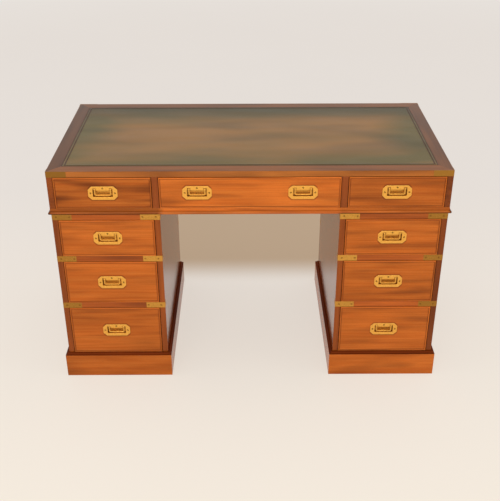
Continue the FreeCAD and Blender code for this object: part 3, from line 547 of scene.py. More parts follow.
def timber(tree, grain, light, dark, vein, ribbon=6, vein_share=0.6):
    """Colour and height of a planed board, from metres along, across and through its grain.

    Ribbons a few millimetres wide drift across the board, which is lighter in some spots than in
    others. Finer streaks and short pores lie along the ribbons, and here and there a dark band."""
    drift = add(tree, "TexNoise", {"Vector": cells(tree, grain, 160, 40, 40), "Scale": 1.0, "Detail": 2.0})
    sway = add(tree, "MapRange", {"Value": drift, "To Min": -SWAY, "To Max": SWAY})
    shift = add(tree, "CombineXYZ", {"Y": sway, "Z": sway})
    wavy = add(tree, "VectorMath", (grain, shift), operation="ADD")
    ribbon_cells = cells(tree, wavy, 300, ribbon, 2 * ribbon)
    ribbons = add(tree, "TexNoise", {"Vector": ribbon_cells, "Scale": 1.0, "Detail": 2.0})
    ribbon_share = add(tree, "MapRange", {"Value": ribbons, "From Min": 0.14, "From Max": 0.86})
    body = add(tree, "Mix", {0: ribbon_share, 6: dark, 7: light}, data_type="RGBA")
    clouds = add(tree, "TexNoise", {"Vector": cells(tree, grain, 190, 40, 40), "Scale": 1.0, "Detail": 1.0})
    gain = add(tree, "MapRange", {"Value": clouds, "From Min": 0.3, "From Max": 0.7, "To Min": 0.87,
                                  "To Max": 1.13})
    wood = add(tree, "VectorMath", {0: body, "Scale": gain}, operation="SCALE")

    # Dark bands, fine streaks, and open pores, which are short dashes about half a millimetre wide
    marks = (
        ((240, 30, 60), {"Detail": 1.0}, (0.5, 0.85), vein_share),
        ((160, 1.3, 1.3), {"Detail": 3.0, "Roughness": 0.7}, (0.4, 0.75), STREAK_SHARE),
        ((6, 0.4, 0.4), {"Detail": 1.0}, (0.6, 0.72), PORE_SHARE),
    )
    shares = []
    for size, kind, (start, end), most in marks:
        noise = add(tree, "TexNoise", {"Vector": cells(tree, wavy, *size), "Scale": 1.0, **kind})
        share = add(tree, "MapRange", {"Value": noise, "From Min": start, "From Max": end, "To Max": most})
        wood = add(tree, "Mix", {0: share, 6: wood, 7: vein}, data_type="RGBA")
        shares.append(share)
    depth = add(tree, "Math", shares[1:], operation="ADD")
    return wood, add(tree, "Math", (1.0, depth), operation="SUBTRACT")


# How much lighter a tone of 1 makes a board

TONE_GAIN = 0.38


def toned(tree, wood):
    """The wood's colour made darker or lighter by the tone of its board."""
    tone = add(tree, "Attribute", attribute_name="tone")
    gain = add(tree, "Math", (tone.outputs["Fac"], TONE_GAIN, 1.0), operation="MULTIPLY_ADD")
    return add(tree, "VectorMath", {0: wood, "Scale": gain}, operation="SCALE")


def polished_mahogany(name, light, dark, vein, roughness, coat, shine):
    """Mahogany, planed, stained and French polished: red-brown ribbons under a clear, even gloss, or
    under a duller one where it was only waxed."""
    material = bpy.data.materials.new(name)
    tree = empty_tree(material)
    grain = add(tree, "Attribute", attribute_name="grain")
    wood, height = timber(tree, grain.outputs["Vector"], light, dark, vein)
    show(tree, toned(tree, wood), height, PORE_DEPTH, roughness, IOR=1.5, Coat_Weight=coat,
         Coat_Roughness=0.14, Specular_IOR_Level=shine)
    return material


# How far old polish reaches inside the bead's inner edge and outside a plate's, and its share at most

GRIME_REACH = {"from_edge": -3.5 * MM, "from_plate": 5 * MM}
GRIME_SHARE = 0.7


def mahogany_front(colours):
    """Figured mahogany of the drawer fronts and plinths. Old polish has gathered dark round the pull
    plates and along the beads, within a few millimetres of them."""
    material = bpy.data.materials.new("figured_mahogany_polished")
    tree = empty_tree(material)
    grain = add(tree, "Attribute", attribute_name="grain")
    figure = add(tree, "Attribute", attribute_name="figure")
    wood, height = timber(tree, grain.outputs["Vector"], colours.front_light, colours.front_dark,
                          colours.front_vein, vein_share=figure.outputs["Fac"])
    shares = []
    for name, reach in GRIME_REACH.items():
        mark = add(tree, "Attribute", attribute_name=name)
        parts = add(tree, "SeparateXYZ", (mark.outputs["Vector"],)).outputs
        beside = add(tree, "Math", (parts[0], parts[1]), operation="MAXIMUM")
        outside = add(tree, "Math", (beside, parts[2]), operation="MAXIMUM")
        shares.append(add(tree, "MapRange", {"Value": outside, "From Max": reach, "To Min": GRIME_SHARE,
                                             "To Max": 0.0}))
    grime = add(tree, "Math", shares, operation="MAXIMUM")
    dulled = add(tree, "Mix", {0: grime, 6: toned(tree, wood), 7: colours.front_vein}, data_type="RGBA")
    show(tree, dulled, height, PORE_DEPTH, 0.22, IOR=1.5, Specular_IOR_Level=0.12)
    return material


def plain_timber(name, light, dark):
    """Straight-grained secondary wood, planed and left dry, with its grain from front to back."""
    material = bpy.data.materials.new(name)
    tree = empty_tree(material)
    place = add(tree, "TexCoord").outputs["Object"]
    turn = add(tree, "Mapping", {"Vector": place, "Rotation": (0, 0, np.pi / 2)})
    wood, height = timber(tree, turn, light, dark, dark, ribbon=3, vein_share=0.3)
    show(tree, wood, height, 2 * PORE_DEPTH, 0.6, IOR=1.5, Specular_IOR_Level=0.3)
    return material


SCRATCH_DEPTH = 0.03 * MM


def lacquered_brass(colours):
    """Cast and rolled brass, polished and then lacquered: warm and bright on the faces, browner where the
    lacquer has worn off or a cloth can't reach. Its grimy colour also paints the shade on the screw heads."""
    material = bpy.data.materials.new("lacquered_brass")
    tree = empty_tree(material)
    tone = add(tree, "Attribute", attribute_name="tone").outputs["Fac"]
    place = add(tree, "TexCoord").outputs["Object"]
    clouds = add(tree, "TexNoise", {"Vector": cells(tree, place, 3.4, 3.4, 2.2), "Scale": 1.0, "Detail": 4.0})
    cloud_share = add(tree, "MapRange", {"Value": clouds, "From Min": 0.4, "From Max": 0.7, "To Max": 0.35})
    aged = add(tree, "Math", (cloud_share, tone), operation="SUBTRACT", use_clamp=True)
    # Grime in hollows and corners, and the painted shade on the screw heads
    grime_and_shade = add(tree, "Math", (-1.0, tone), operation="SUBTRACT", use_clamp=True)
    metal = colours.brass_bright
    for share, over in ((aged, colours.brass_aged), (grime_and_shade, colours.brass_grimy)):
        metal = add(tree, "Mix", {0: share, 6: metal, 7: over}, data_type="RGBA")
    scratch_cells = cells(tree, place, 1.8, 0.6, 0.14)
    scratches = add(tree, "TexNoise", {"Vector": scratch_cells, "Scale": 1.0, "Detail": 2.0})
    gloss = add(tree, "MapRange", {"Value": aged, "To Min": 0.3, "To Max": 0.46})
    show(tree, metal, scratches, SCRATCH_DEPTH, gloss, Metallic=1.0)
    return material


# Measures of the leather: how far in wear grows, the rubs' share, a seed, the rim of painted gap shade, the
# darkness of line and rim, the grain

WEAR_REACH = 210 * MM
RUB_SHARE = 0.15
DARK_PATCH_START = (3.0, 7.0, 0.0)
PAINTED_GAP_SHADE_RIM = (2 * MM, 4.5 * MM)
LINE_SHARE = 0.95
PEBBLE_HEIGHT = 0.12 * MM


def antiqued_leather(colours, half_width, half_depth, line, line_width):
    """Hide skiver, dyed green, rubbed and waxed: tan shows through in soft patches towards the middle,
    the back stays dark, and a tooled line runs round. A fine pebble grain breaks its shine."""
    material = bpy.data.materials.new("antiqued_leather")
    tree = empty_tree(material)
    spot = add(tree, "TexCoord").outputs["Object"]
    size = add(tree, "VectorMath", (spot,), operation="ABSOLUTE")
    inward = add(tree, "VectorMath", ((half_width, half_depth, 0.0), size), operation="SUBTRACT")
    inset = add(tree, "Math", add(tree, "SeparateXYZ", (inward,)).outputs[:2], operation="MINIMUM")
    middle = add(tree, "MapRange", {"Value": inset, "From Max": WEAR_REACH, "To Min": -0.25, "To Max": 0.3},
                 interpolation_type="SMOOTHSTEP")
    patches = add(tree, "TexNoise", {"Vector": cells(tree, spot, 300, 100, 100), "Scale": 1.0, "Detail": 1.0})
    rubs = add(tree, "TexNoise", {"Vector": cells(tree, spot, 200, 45, 45), "Scale": 1.0, "Detail": 1.5})
    worn = add(tree, "Math", (patches, middle), operation="ADD")
    mixed = add(tree, "Math", (rubs, RUB_SHARE, worn), operation="MULTIPLY_ADD")
    patch_share = add(tree, "MapRange", {"Value": mixed, "From Min": 0.25, "From Max": 0.88})

    # Dark patches fade in by their noise, the back darkens, and the front keeps clear of the patches.
    dark_cells = add(tree, "VectorMath", (cells(tree, spot, 320, 90, 90), DARK_PATCH_START), operation="ADD")
    dark_patches = add(tree, "TexNoise", {"Vector": dark_cells, "Scale": 1.0, "Detail": 1.0})
    depth = add(tree, "SeparateXYZ", (spot,)).outputs[1]
    fades = ((dark_patches, 0.38, 0.85, 0.5), (depth, 0.3 * half_depth, half_depth, 0.75),
             (depth, -half_depth, -0.4 * half_depth, 1.0))
    dim, back, front = (
        add(tree, "MapRange", {"Value": value, "From Min": start, "From Max": end, "To Max": most},
            interpolation_type="SMOOTHSTEP") for value, start, end, most in fades)
    kept = add(tree, "Math", (dim, front), operation="MULTIPLY")
    shade = add(tree, "Math", (kept, back), operation="MAXIMUM")

    # The tooled line is dark, and the rim is painted with the shade of the gap along the border.
    away = add(tree, "Math", (inset, line), operation="SUBTRACT")
    off_line = add(tree, "Math", (away,), operation="ABSOLUTE")
    line_and_gap_shades = [add(tree, "MapRange", {"Value": value, "From Min": start, "From Max": end, "To Min": LINE_SHARE,
                                    "To Max": 0.0})
             for value, start, end in ((off_line, line_width / 3, line_width), (inset, *PAINTED_GAP_SHADE_RIM))]
    line_and_gap_shade = add(tree, "Math", line_and_gap_shades, operation="MAXIMUM")
    hide = colours.leather_olive
    for share, over in ((patch_share, colours.leather_tan), (shade, colours.leather_edge),
                        (line_and_gap_shade, colours.case_vein)):
        hide = add(tree, "Mix", {0: share, 6: hide, 7: over}, data_type="RGBA")

    # The hide's pebbles are about half a millimetre wide.
    pebble_cells = cells(tree, spot, 0.45, 0.45, 0.45)
    pebbles = add(tree, "TexVoronoi", {"Vector": pebble_cells, "Scale": 1.0}, feature="SMOOTH_F1")
    gloss = add(tree, "MapRange", {"Value": rubs, "To Min": 0.34, "To Max": 0.52})
    show(tree, hide, pebbles, PEBBLE_HEIGHT, gloss, IOR=1.5, Specular_IOR_Level=0.22)
    return material


# Each polished wood's material, its light, dark and vein colours, its roughness, coat and shine

POLISHED_WOODS = {
    "case": ("mahogany_polished", ("case_light", "case_dark", "case_vein"), 0.3, 0.08, 0.17),
    "panel": ("mahogany_waxed", ("case_light", "case_dark", "case_vein"), 0.15, 0.0, 0.2),
    "border": ("mahogany_faded", ("border_light", "border_dark", "border_vein"), 0.3, 0.08, 0.17),
    "moulding": ("dark_stained_mahogany", ("moulding_light", "moulding_dark", "moulding_dark"),
                 0.6, 0.0, 0.05),
}
DRY_WOODS = {"lining": "dry_cedar_lining", "carcase": "dry_carcase_pine"}
FINISHES = {}


def finish(name):
    """The named finish, made at its first use."""
    colours, sizes = bpy.context.scene.desk_colours, bpy.context.scene.desk_sizes
    if name in FINISHES:
        return FINISHES[name]
    if name in POLISHED_WOODS:
        material, shades, *gloss = POLISHED_WOODS[name]
        made = polished_mahogany(material, *(getattr(colours, shade) for shade in shades), *gloss)
    elif name in DRY_WOODS:
        shades = (getattr(colours, f"{name}_{shade}") for shade in ("light", "dark"))
        made = plain_timber(DRY_WOODS[name], *shades)
    elif name == "front":
        made = mahogany_front(colours)
    elif name == "brass":
        made = lacquered_brass(colours)
    else:
        half = span("writing_leather")[1]
        made = antiqued_leather(colours, float(half[0]), float(half[1]), sizes.leather_line,
                                sizes.leather_line_width)
    FINISHES[name] = made
    return made


# Pieces

# Tones of the top's border at the front, right, back and left, and of its rounded outer edge, which is
# lighter from wear and from a painted highlight

BORDER_TONES = (-0.35, -1.25, -1.2, -1.6)
BORDER_EDGE_WEAR_AND_HIGHLIGHT = 0.58

# Tone of the top's straps, and how much lighter the right ones and darker the left ones are

TOP_STRAP_TONE = -1.15
TOP_STRAP_SHIFT = 0.2

# How far the leather's surface has turned up, ring by ring: its edge, then the tooled line

LEATHER_TILTS = np.radians((0, 20, 60, 90, 75, 75, 105, 105, 90))[:, None]


class DESK_OT_top(bpy.types.Operator):
    """Mitred border, brass corners and writing leather of the top"""

    bl_idname = "desk.top"
    bl_label = "Top"

    def execute(self, context):
        sizes = context.scene.desk_sizes
        low, high = span("top_border")
        leather_low, leather_high = span("writing_leather")
        width = high[0] - leather_high[0]
        section = rounded(oblong(-width, low[2], 0, high[2]),
                          (sizes.arris / 3, sizes.arris, sizes.top_arris, sizes.arris / 3))
        border = Skin()
        flat = np.reshape(BORDER_TONES, (-1, 1, 1))
        # The border grows lighter as its edge turns to face out: wear, and a painted highlight on the
        # rounding
        worn = flat + np.clip(section[1][:, 0], 0, 1) * (BORDER_EDGE_WEAR_AND_HIGHLIGHT - flat)
        mitred_members(border, 0, high[:2], section, draw("border"), worn)
        settle(border, "border_members", "top_section", "border", "top_border")

        brass = Skin()
        straps(brass, CORNERS * high[:2], CORNERS, np.full(4, low[2]), np.full(4, high[2]), sizes,
               TOP_STRAP_SHIFT * CORNERS[:, :1, None] + TOP_STRAP_TONE)
        settle(brass, "top_straps", "top_section", "brass", "top_corner_straps")
        self.lay_leather(sizes, leather_low, leather_high)
        return {"FINISHED"}

    def lay_leather(self, sizes, low, high):
        """A rectangle carried inwards ring by ring: over the turned edge, across and out of the tooled
        line, and then flat to the middle."""
        half, line, groove = sizes.leather_line_width / 2, sizes.leather_line, sizes.leather_line_depth
        edge = high[2] - low[2]
        insets = np.array((0, 0, edge / 4, edge, line - half, line - half / 2, line + half / 2, line + half,
                           2 * line))
        drops = np.array((edge, edge / 2, edge / 8, 0, 0, groove, groove, 0, 0))
        corners = oblong(low[0] + insets, low[1] + insets, high[0] - insets, high[1] - insets)
        outline, outward = rounded(corners, edge)
        leather = Skin()
        leather.tubes(lifted(outline, (high[2] - drops)[:, None]),
                      lifted(np.cos(LEATHER_TILTS)[..., None] * outward, np.sin(LEATHER_TILTS)))
        settle(leather, "leather_sheet", "top_section", "leather", "writing_leather")


# The rail under the frieze drawers, and its bead, are lighter over the knee hole than over the pedestals.

RAIL_STOPS = (-1, -0.985, -0.46, -0.43, 0.43, 0.46, 0.985, 1)
RAIL_TONES = (-0.8, -0.8, -0.7, 1.0, 0.9, 0.1, 0.0, 0.0)

# Painted shade darkens the frieze's bead at its corners, and on its underside where it turns under over the
# pedestals.

BEAD_PAINTED_SHADE = -2.2
UNDERSIDE = -0.2
KNEE_HOLE = 0.44
HALF_ROUND = 0.98

# Tones of the frieze's other boards, and of the pedestals' backs

END_TONE = -0.5
DIVIDER_TONE = 0.1
BACK_TONE = -0.2


class DESK_OT_frieze(bpy.types.Operator):
    """Ends, dividers, back, base frame and bead of the top section"""

    bl_idname = "desk.frieze"
    bl_label = "Frieze"

    def execute(self, context):
        sizes = context.scene.desk_sizes
        end_low, end_high = span("frieze_ends")
        back_low, back_high = span("frieze_back")
        ends = Skin()
        boards(ends, *at_ends(end_low, end_high, back_low[0], back_high[0]), sizes.arris, draw("ends"),
               (1, 2, 0), END_TONE)
        settle(ends, "end_panels", "top_section", "panel", "frieze_ends")

        low, high = span("frieze_dividers")
        inner = span("frieze_centre_drawer_front")[1][0] + sizes.room_beside
        dividers = Skin()
        boards(dividers, *at_ends(low, high, -inner, inner), sizes.arris, draw("dividers"), (2, 0, 1),
               DIVIDER_TONE)
        settle(dividers, "divider_boards", "top_section", "case", "frieze_dividers")

        back = Skin()
        boards(back, back_low, back_high, sizes.arris, draw("back"), (0, 2, 1), BACK_TONE)
        settle(back, "back_board", "top_section", "panel", "frieze_back")

        frame_low, frame_high = span("frieze_base_frame")
        self.lay_base_frame(sizes, frame_low, np.array((*frame_high[:2], end_low[2])), (inner + high[0]) / 2)
        self.lay_bead(sizes, frame_high[:2])
        return {"FINISHED"}

    def lay_bead(self, sizes, half):
        """A nearly half-round profile carried along the four sides of the base frame."""
        low, high = span("frieze_bead")
        radius = high[0] - half[0]
        nearly = radius * HALF_ROUND
        section = rounded(oblong(-radius, low[2], radius, high[2]),
                          (sizes.arris / 3, nearly, nearly, sizes.arris / 3), 6)
        tone = np.where(np.arange(len(OUTWARD))[:, None] == 0, RAIL_TONES, RAIL_TONES[0])[..., None]
        places = np.abs(RAIL_STOPS)[:, None]
        # Painted shade at the bead's ends, and on its underside over the pedestals
        shade_mask = (places == 1) | (places > KNEE_HOLE) & (section[1][:, 1] < UNDERSIDE)
        bead = Skin()
        mitred_members(bead, 0, half, section, draw("bead"), np.where(shade_mask, BEAD_PAINTED_SHADE, tone),
                       stops=RAIL_STOPS)
        bead.keep_clean()
        settle(bead, "bead_moulding", "top_section", "front", "frieze_bead")

    def lay_base_frame(self, sizes, low, high, middle):
        """Two long rails, two end rails, two cross rails and the stops for the frieze drawers."""
        width = sizes.base_member
        inside = low[1] + width, high[1] - width
        starts = np.array((low[0], high[0] - width, -middle - width / 2, middle - width / 2))
        ends = np.array((low[0] + width, high[0], -middle + width / 2, middle + width / 2))
        rails = Skin()
        long_rail(rails, low, np.array((high[0], inside[0], high[2])), sizes.arris, RAIL_STOPS, RAIL_TONES,
                  draw("front_rail"))
        boards(rails, ((low[0], inside[1], low[2]), *joined(starts, inside[0], low[2])),
               (high, *joined(ends, inside[1], high[2])), sizes.arris, draw("base_frame"))
        for name in FRIEZE_DRAWERS:
            front_low, front_high = span(f"{name}_drawer_front")
            sides = front_low[0] - sizes.room_beside, front_high[0] + sizes.room_beside
            places = np.array((sides[0] + sizes.stop_inset, sides[1] - sizes.stop_inset - sizes.stop_width))
            stop_low = joined(places, front_high[1] + sizes.stop_gap, high[2])
            boards(rails, stop_low, stop_low + (sizes.stop_width, sizes.stop_depth, sizes.stop_height),
                   sizes.arris / 2, draw(name))
        rails.keep_clean()
        settle(rails, "base_frame_members", "top_section", "front", "frieze_base_frame")


def rail_levels(side, sizes):
    """The lower and upper edge of a pedestal's rails, from the drawers below and above them."""
    tops = np.array([span(f"{side}_{level}_drawer_front")[1][2] for level in LEVELS]) + sizes.room_over
    floors = [span(f"{side}_{level}_drawer_front")[0][2] - sizes.room_under for level in LEVELS[1:]]
    return tops, np.array(floors + [span(f"{side}_pedestal_sides")[1][2]])


# Tones of the pedestals' rails from the lowest to the highest, and of their side panels from left to right

PEDESTAL_RAIL_TONES = {"left": (0.9, 0.6, 1.2), "right": (1.5, 1.2, 0.8)}
PEDESTAL_PANEL_TONES = {"left": (-0.45, -0.05), "right": (-0.1, -0.6)}
PEDESTAL_SPREAD = 0.05


class DESK_OT_pedestals(bpy.types.Operator):
    """Side panels, backs and drawer rails of both pedestals"""

    bl_idname = "desk.pedestals"
    bl_label = "Pedestals"

    def execute(self, context):
        sizes = context.scene.desk_sizes
        back_low, back_high = span("pedestal_backs")
        backs = Skin()
        for side in PEDESTALS:
            low, high = span(f"{side}_pedestal_sides")
            rail_low, rail_high = span(f"{side}_drawer_rails")
            panels = Skin()
            boards(panels, *at_ends(low, high, rail_low[0], rail_high[0]), sizes.arris, draw(side), (2, 1, 0),
                   np.reshape(PEDESTAL_PANEL_TONES[side], (-1, 1, 1)), PEDESTAL_SPREAD)
            settle(panels, f"{side}_side_panels", "pedestals", "panel",
                   f"{side}_pedestal_sides")

            floors, tops = rail_levels(side, sizes)
            rails = Skin()
            boards(rails, joined(*rail_low[:2], floors), joined(*rail_high[:2], tops), sizes.arris / 2,
                   draw(f"{side}_rails"), (0, 2, 1), np.reshape(PEDESTAL_RAIL_TONES[side], (-1, 1, 1)),
                   PEDESTAL_SPREAD)
            settle(rails, f"{side}_rails", "pedestals", "case", f"{side}_drawer_rails")

            boards(backs, (rail_low[0], *back_low[1:]), (rail_high[0], *back_high[1:]), sizes.arris,
                   draw(f"{side}_back"), (2, 0, 1), BACK_TONE)
        settle(backs, "back_panels", "pedestals", "panel", "pedestal_backs")
        return {"FINISHED"}


PLINTH_TONES = {"left": -0.2, "right": 0.15}


class DESK_OT_plinths(bpy.types.Operator):
    """Mitred plinths with the hollow moulding on top of them"""

    bl_idname = "desk.plinths"
    bl_label = "Plinths"

    def execute(self, context):
        sizes = context.scene.desk_sizes
        mouldings = Skin()
        for side in PEDESTALS:
            low, high = span(f"{side}_plinth")
            centre, half = np.array((*(low + high)[:2] / 2, 0)), (high - low)[:2] / 2
            board, block = sizes.plinth_board, sizes.glue_block
            section = rounded(oblong(-board, low[2], 0, high[2]),
                              (sizes.arris, sizes.arris, sizes.top_arris, sizes.arris))
            plinth = Skin()
            mitred_members(plinth, centre, half, section, draw(f"{side}_plinth"), PLINTH_TONES[side])
            middles = CORNERS * (half - board - block / 2) + centre[:2]
            boards(plinth, lifted(middles - block / 2, high[2] - sizes.glue_block_height),
                   lifted(middles + block / 2, high[2]), sizes.arris, draw(f"{side}_blocks"))
            plinth.keep_clean()
            settle(plinth, f"{side}_plinth_boards", "pedestals", "front", f"{side}_plinth")
            depth = high[0] - span(f"{side}_pedestal_sides")[1][0]
            mitred_members(mouldings, centre, half, self.hollow_section(sizes, depth),
                           draw(f"{side}_moulding"))
        settle(mouldings, "hollow_mouldings", "pedestals", "moulding", "plinth_mouldings")
        return {"FINISHED"}

    def hollow_section(self, sizes, depth):
        """A hollow over a lip. It is the rounding of an inward corner, as deep as the moulding is above the
        lip."""
        low, high = (corner[2] for corner in span("plinth_mouldings"))
        small, shelf = sizes.moulding_lip / 8, low + sizes.moulding_lip
        hollow = high - low - sizes.moulding_lip
        corners = (-depth, low), (0, low), (0, shelf), (-hollow, shelf), (-hollow, high), (-depth, high)
        return rounded(corners, (small, small, small, hollow - 2 * small, small, small), 5)


# How far the straps have aged on the inner and the outer corners of the pedestals, and by chance

STRAP_AGES = (0.4, 0.9)
STRAP_SPREAD = 0.12
# The strap screws' heads are darkened whole, as painted shade of their slots and recesses
STRAP_SCREW_SHADE_TONE = -1.6


class DESK_OT_straps(bpy.types.Operator):
    """Brass straps round the corners of the pedestals, with their screws"""

    bl_idname = "desk.straps"
    bl_label = "Straps"

    def execute(self, context):
        sizes = context.scene.desk_sizes
        # Each strap's corner, the signs of that corner, its lower and upper edge, and its age
        rows = []
        for side in PEDESTALS:
            box = span(f"{side}_pedestal_sides")
            outer = int(box[0][0] > 0)
            for x in (0, 1):
                for y in (0, 1):
                    age = STRAP_AGES[int(x == outer)]
                    rows += [(box[x][0], box[y][1], SIGNS[x], SIGNS[y], low, high, age)
                             for low, high in zip(*rail_levels(side, sizes))]
        rows = np.array(rows)
        corner, sign, (low, high, age) = rows[:, :2], rows[:, 2:4], rows[:, 4:].T
        plates = Skin()
        tone = -age[:, None, None] + draw("straps").uniform(-STRAP_SPREAD, STRAP_SPREAD, (len(low), 1, 1))
        straps(plates, corner, sign, low, high, sizes, tone)
        settle(plates, "strap_plates", "pedestals", "brass", "corner_straps")

        middle, proud = (low + high) / 2, sizes.strap_proud
        first, last = sizes.strap_screw_inset, sizes.strap_length - sizes.strap_screw_end
        spots, facing = [], []
        for inset, face in (((first, -proud), (0, 1)), ((last, -proud), (0, 1)), ((-proud, first), (1, 0))):
            spots.append(lifted(corner - sign * inset, middle))
            facing.append(lifted(sign * face, 0))
        heads = Skin()
        screw_heads(heads, np.concatenate(spots), np.concatenate(facing), sizes, draw("strap_screws"),
                    STRAP_SCREW_SHADE_TONE)
        settle(heads, "strap_screw_heads", "pedestals", "brass", "strap_screws")
        return {"FINISHED"}


def pull_centres(name, sizes):
    """The middle of each pull plate of a drawer, on the plate's face."""
    low, high = span(f"{name}_drawer_pull")
    ends = sorted({round(low[0] + sizes.plate_width / 2, 5), round(high[0] - sizes.plate_width / 2, 5)})
    return [np.array((x, low[1], (low[2] + high[2]) / 2)) for x in ends]


# Tones of a drawer's bead at the bottom, right, top and left. The top is painted lighter, as a highlight.

BEAD_HIGHLIGHT_TONES = np.reshape((0, 0, 1.0, 0), (-1, 1, 1))

# Tones of the bead's outside, painted shade of the gap at the bottom and sides and a painted highlight at the
# top, and how far the outside's normals lean out

BEAD_OUTSIDE_SHADE_AND_HIGHLIGHT = np.reshape((-1.8, -1.8, 0.8, -1.8), (-1, 1, 1))
OUTSIDE_LEAN = 0.55
BEAD_ROUNDING = np.array((0.05, 0.05, 0.47, 0.47))
POCKET_ROOM = MM / 2


class DESK_OT_fronts(bpy.types.Operator):
    """Drawer fronts with a cock bead round each"""

    bl_idname = "desk.fronts"
    bl_label = "Drawer fronts"

    def execute(self, context):
        sizes = context.scene.desk_sizes
        for name in DRAWERS:
            low, high = span(f"{name}_drawer_front")
            face = low[1] + sizes.cock_bead_proud
            skin = Skin()
            self.lay_board(skin, name, low, high, face, sizes)
            section = rounded(oblong(-sizes.cock_bead, -sizes.cock_bead_seat, 0, sizes.cock_bead_proud),
                              BEAD_ROUNDING * sizes.cock_bead)
            # Painted shade on the bead's outside in the gaps round the drawer, and a painted highlight on the
            # top bead
            tone = np.where(section[1][:, 0] > OUTSIDE_LEAN, BEAD_OUTSIDE_SHADE_AND_HIGHLIGHT, FRONT_TONES[name] + BEAD_HIGHLIGHT_TONES)
            middle = (low + high) / 2
            mitred_members(skin, np.array((middle[0], face, middle[2])), (high - low)[[0, 2]] / 2, section,
                           draw(f"{name}_bead"), tone, UPRIGHT)
            skin.keep_clean()
            settle(skin, f"{name}_front_board", f"{name}_drawer", "front",
                   f"{name}_drawer_front")
        return {"FINISHED"}

    def lay_board(self, skin, name, low, high, face, sizes):
        """A board with a rebate round its face and a pocket for each finger cup.

        Its outline is carried back in four rings: the face, the floor of the rebate, out to the edge and
        the back. The face is a grid of oblongs whose lines run through the edges of the pockets."""
        centres = pull_centres(name, sizes)
        half_cup = sizes.cup_width / 2 + sizes.cup_wall + POCKET_ROOM
        lines = [edge for centre in centres for edge in (centre[0] - half_cup, centre[0] + half_cup)]
        pockets = [1]
        if len(centres) > 1:
            lines.insert(2, (low[0] + high[0]) / 2)
            pockets = [1, 4]
        cup_top = centres[0][2] + sizes.cup_rise
        bottom = cup_top - sizes.cup_height - sizes.cup_wall - POCKET_ROOM
        top = cup_top + sizes.ear_height + sizes.cup_wall + POCKET_ROOM
        rings, rebate = [], face + sizes.cock_bead_seat
        for edge, depth in ((sizes.cock_bead, face), (sizes.cock_bead, rebate), (sizes.side_reveal, rebate),
                            (sizes.side_reveal, high[1])):
            across = np.array([low[0] + edge, *lines, high[0] - edge])
            up = np.array([low[2] + edge, bottom, top, high[2] - edge])
            rings.append(joined(across[:, None], depth, up))
        columns, rows = rings[0].shape[:2]
        loop = np.concatenate((
            joined(np.arange(columns - 1), 0), joined(columns - 1, np.arange(rows - 1)),
            joined(np.arange(columns - 1, 0, -1), rows - 1), joined(0, np.arange(rows - 1, 0, -1))))
        index = np.arange(4 * columns * rows).reshape(4, columns, rows)
        edge_loop = index[:, loop[:, 0], loop[:, 1]]
        ahead = np.roll(edge_loop, -1, axis=1)
        sides = joined(edge_loop[:-1], edge_loop[1:], ahead[1:], ahead[:-1]).reshape(-1, 4)
        cell = joined(index[:, :-1, :-1], index[:, 1:, :-1], index[:, 1:, 1:], index[:, :-1, 1:])
        solid = np.ones((columns - 1, rows - 1), bool)
        solid[pockets, 1] = False
        points = np.stack(rings).reshape(-1, 3)
        faces = [sides, cell[0][solid], cell[3].reshape(-1, 4)[:, ::-1]]
        for pocket in pockets:
            mouth = cell[0][pocket, 1]
            floor = np.arange(4) + len(points)
            points = np.concatenate((points, points[mouth] + (0, sizes.pocket_depth, 0)))
            faces += [joined(mouth, np.roll(mouth, -1), np.roll(floor, -1), floor), floor[None]]
        used, faces = np.unique(np.concatenate(faces), return_inverse=True)
        points, faces = points[used], faces.reshape(-1, 4)
        corners = points[faces]
        flat = along(np.cross(corners[:, 2] - corners[:, 0], corners[:, 3] - corners[:, 1]))
        grain = points[:, (0, 2, 1)] + draw(name).uniform(0, TIMBER_ROOM, 3)
        skin.add(points, [faces], [np.repeat(flat[:, None], 4, axis=1)], grain, FRONT_TONES[name])
        skin.marks = self.marks(name, points, low, high, centres, sizes)

    def marks(self, name, points, low, high, centres, sizes):
        """Distances past the edges of the nearest plate and past the bead's inner edges, which the polish
        darkens by. The grid's lines keep each of them straight from point to point where it counts."""
        places = np.array([centre[0] for centre in centres])
        beside = np.abs(points[:, None, 0] - places).min(axis=1) - sizes.plate_width / 2
        over = np.abs(points[:, 2] - centres[0][2]) - sizes.plate_width / 4
        clipped = (beside + over + sizes.plate_corner) / np.sqrt(2)
        inside = (np.abs(points - (low + high) / 2) - (high - low) / 2 + sizes.cock_bead)[:, (0, 2)]
        return {"from_edge": lifted(inside, inside.min(axis=1)), "from_plate": joined(beside, over, clipped),
                "figure": np.full(points.shape, FRONT_FIGURES[name])}


# The plate screws' heads are darkened whole, as painted shade of their slots and recesses
PLATE_SCREW_SHADE_TONE = -1.9

# Where a rounded edge stands halfway round, and how far the cup's corners and its ears' are rounded

BEVEL_MIDDLE = 0.3
CUP_ROUNDING = 0.45
EAR_ROUNDING = 1.25


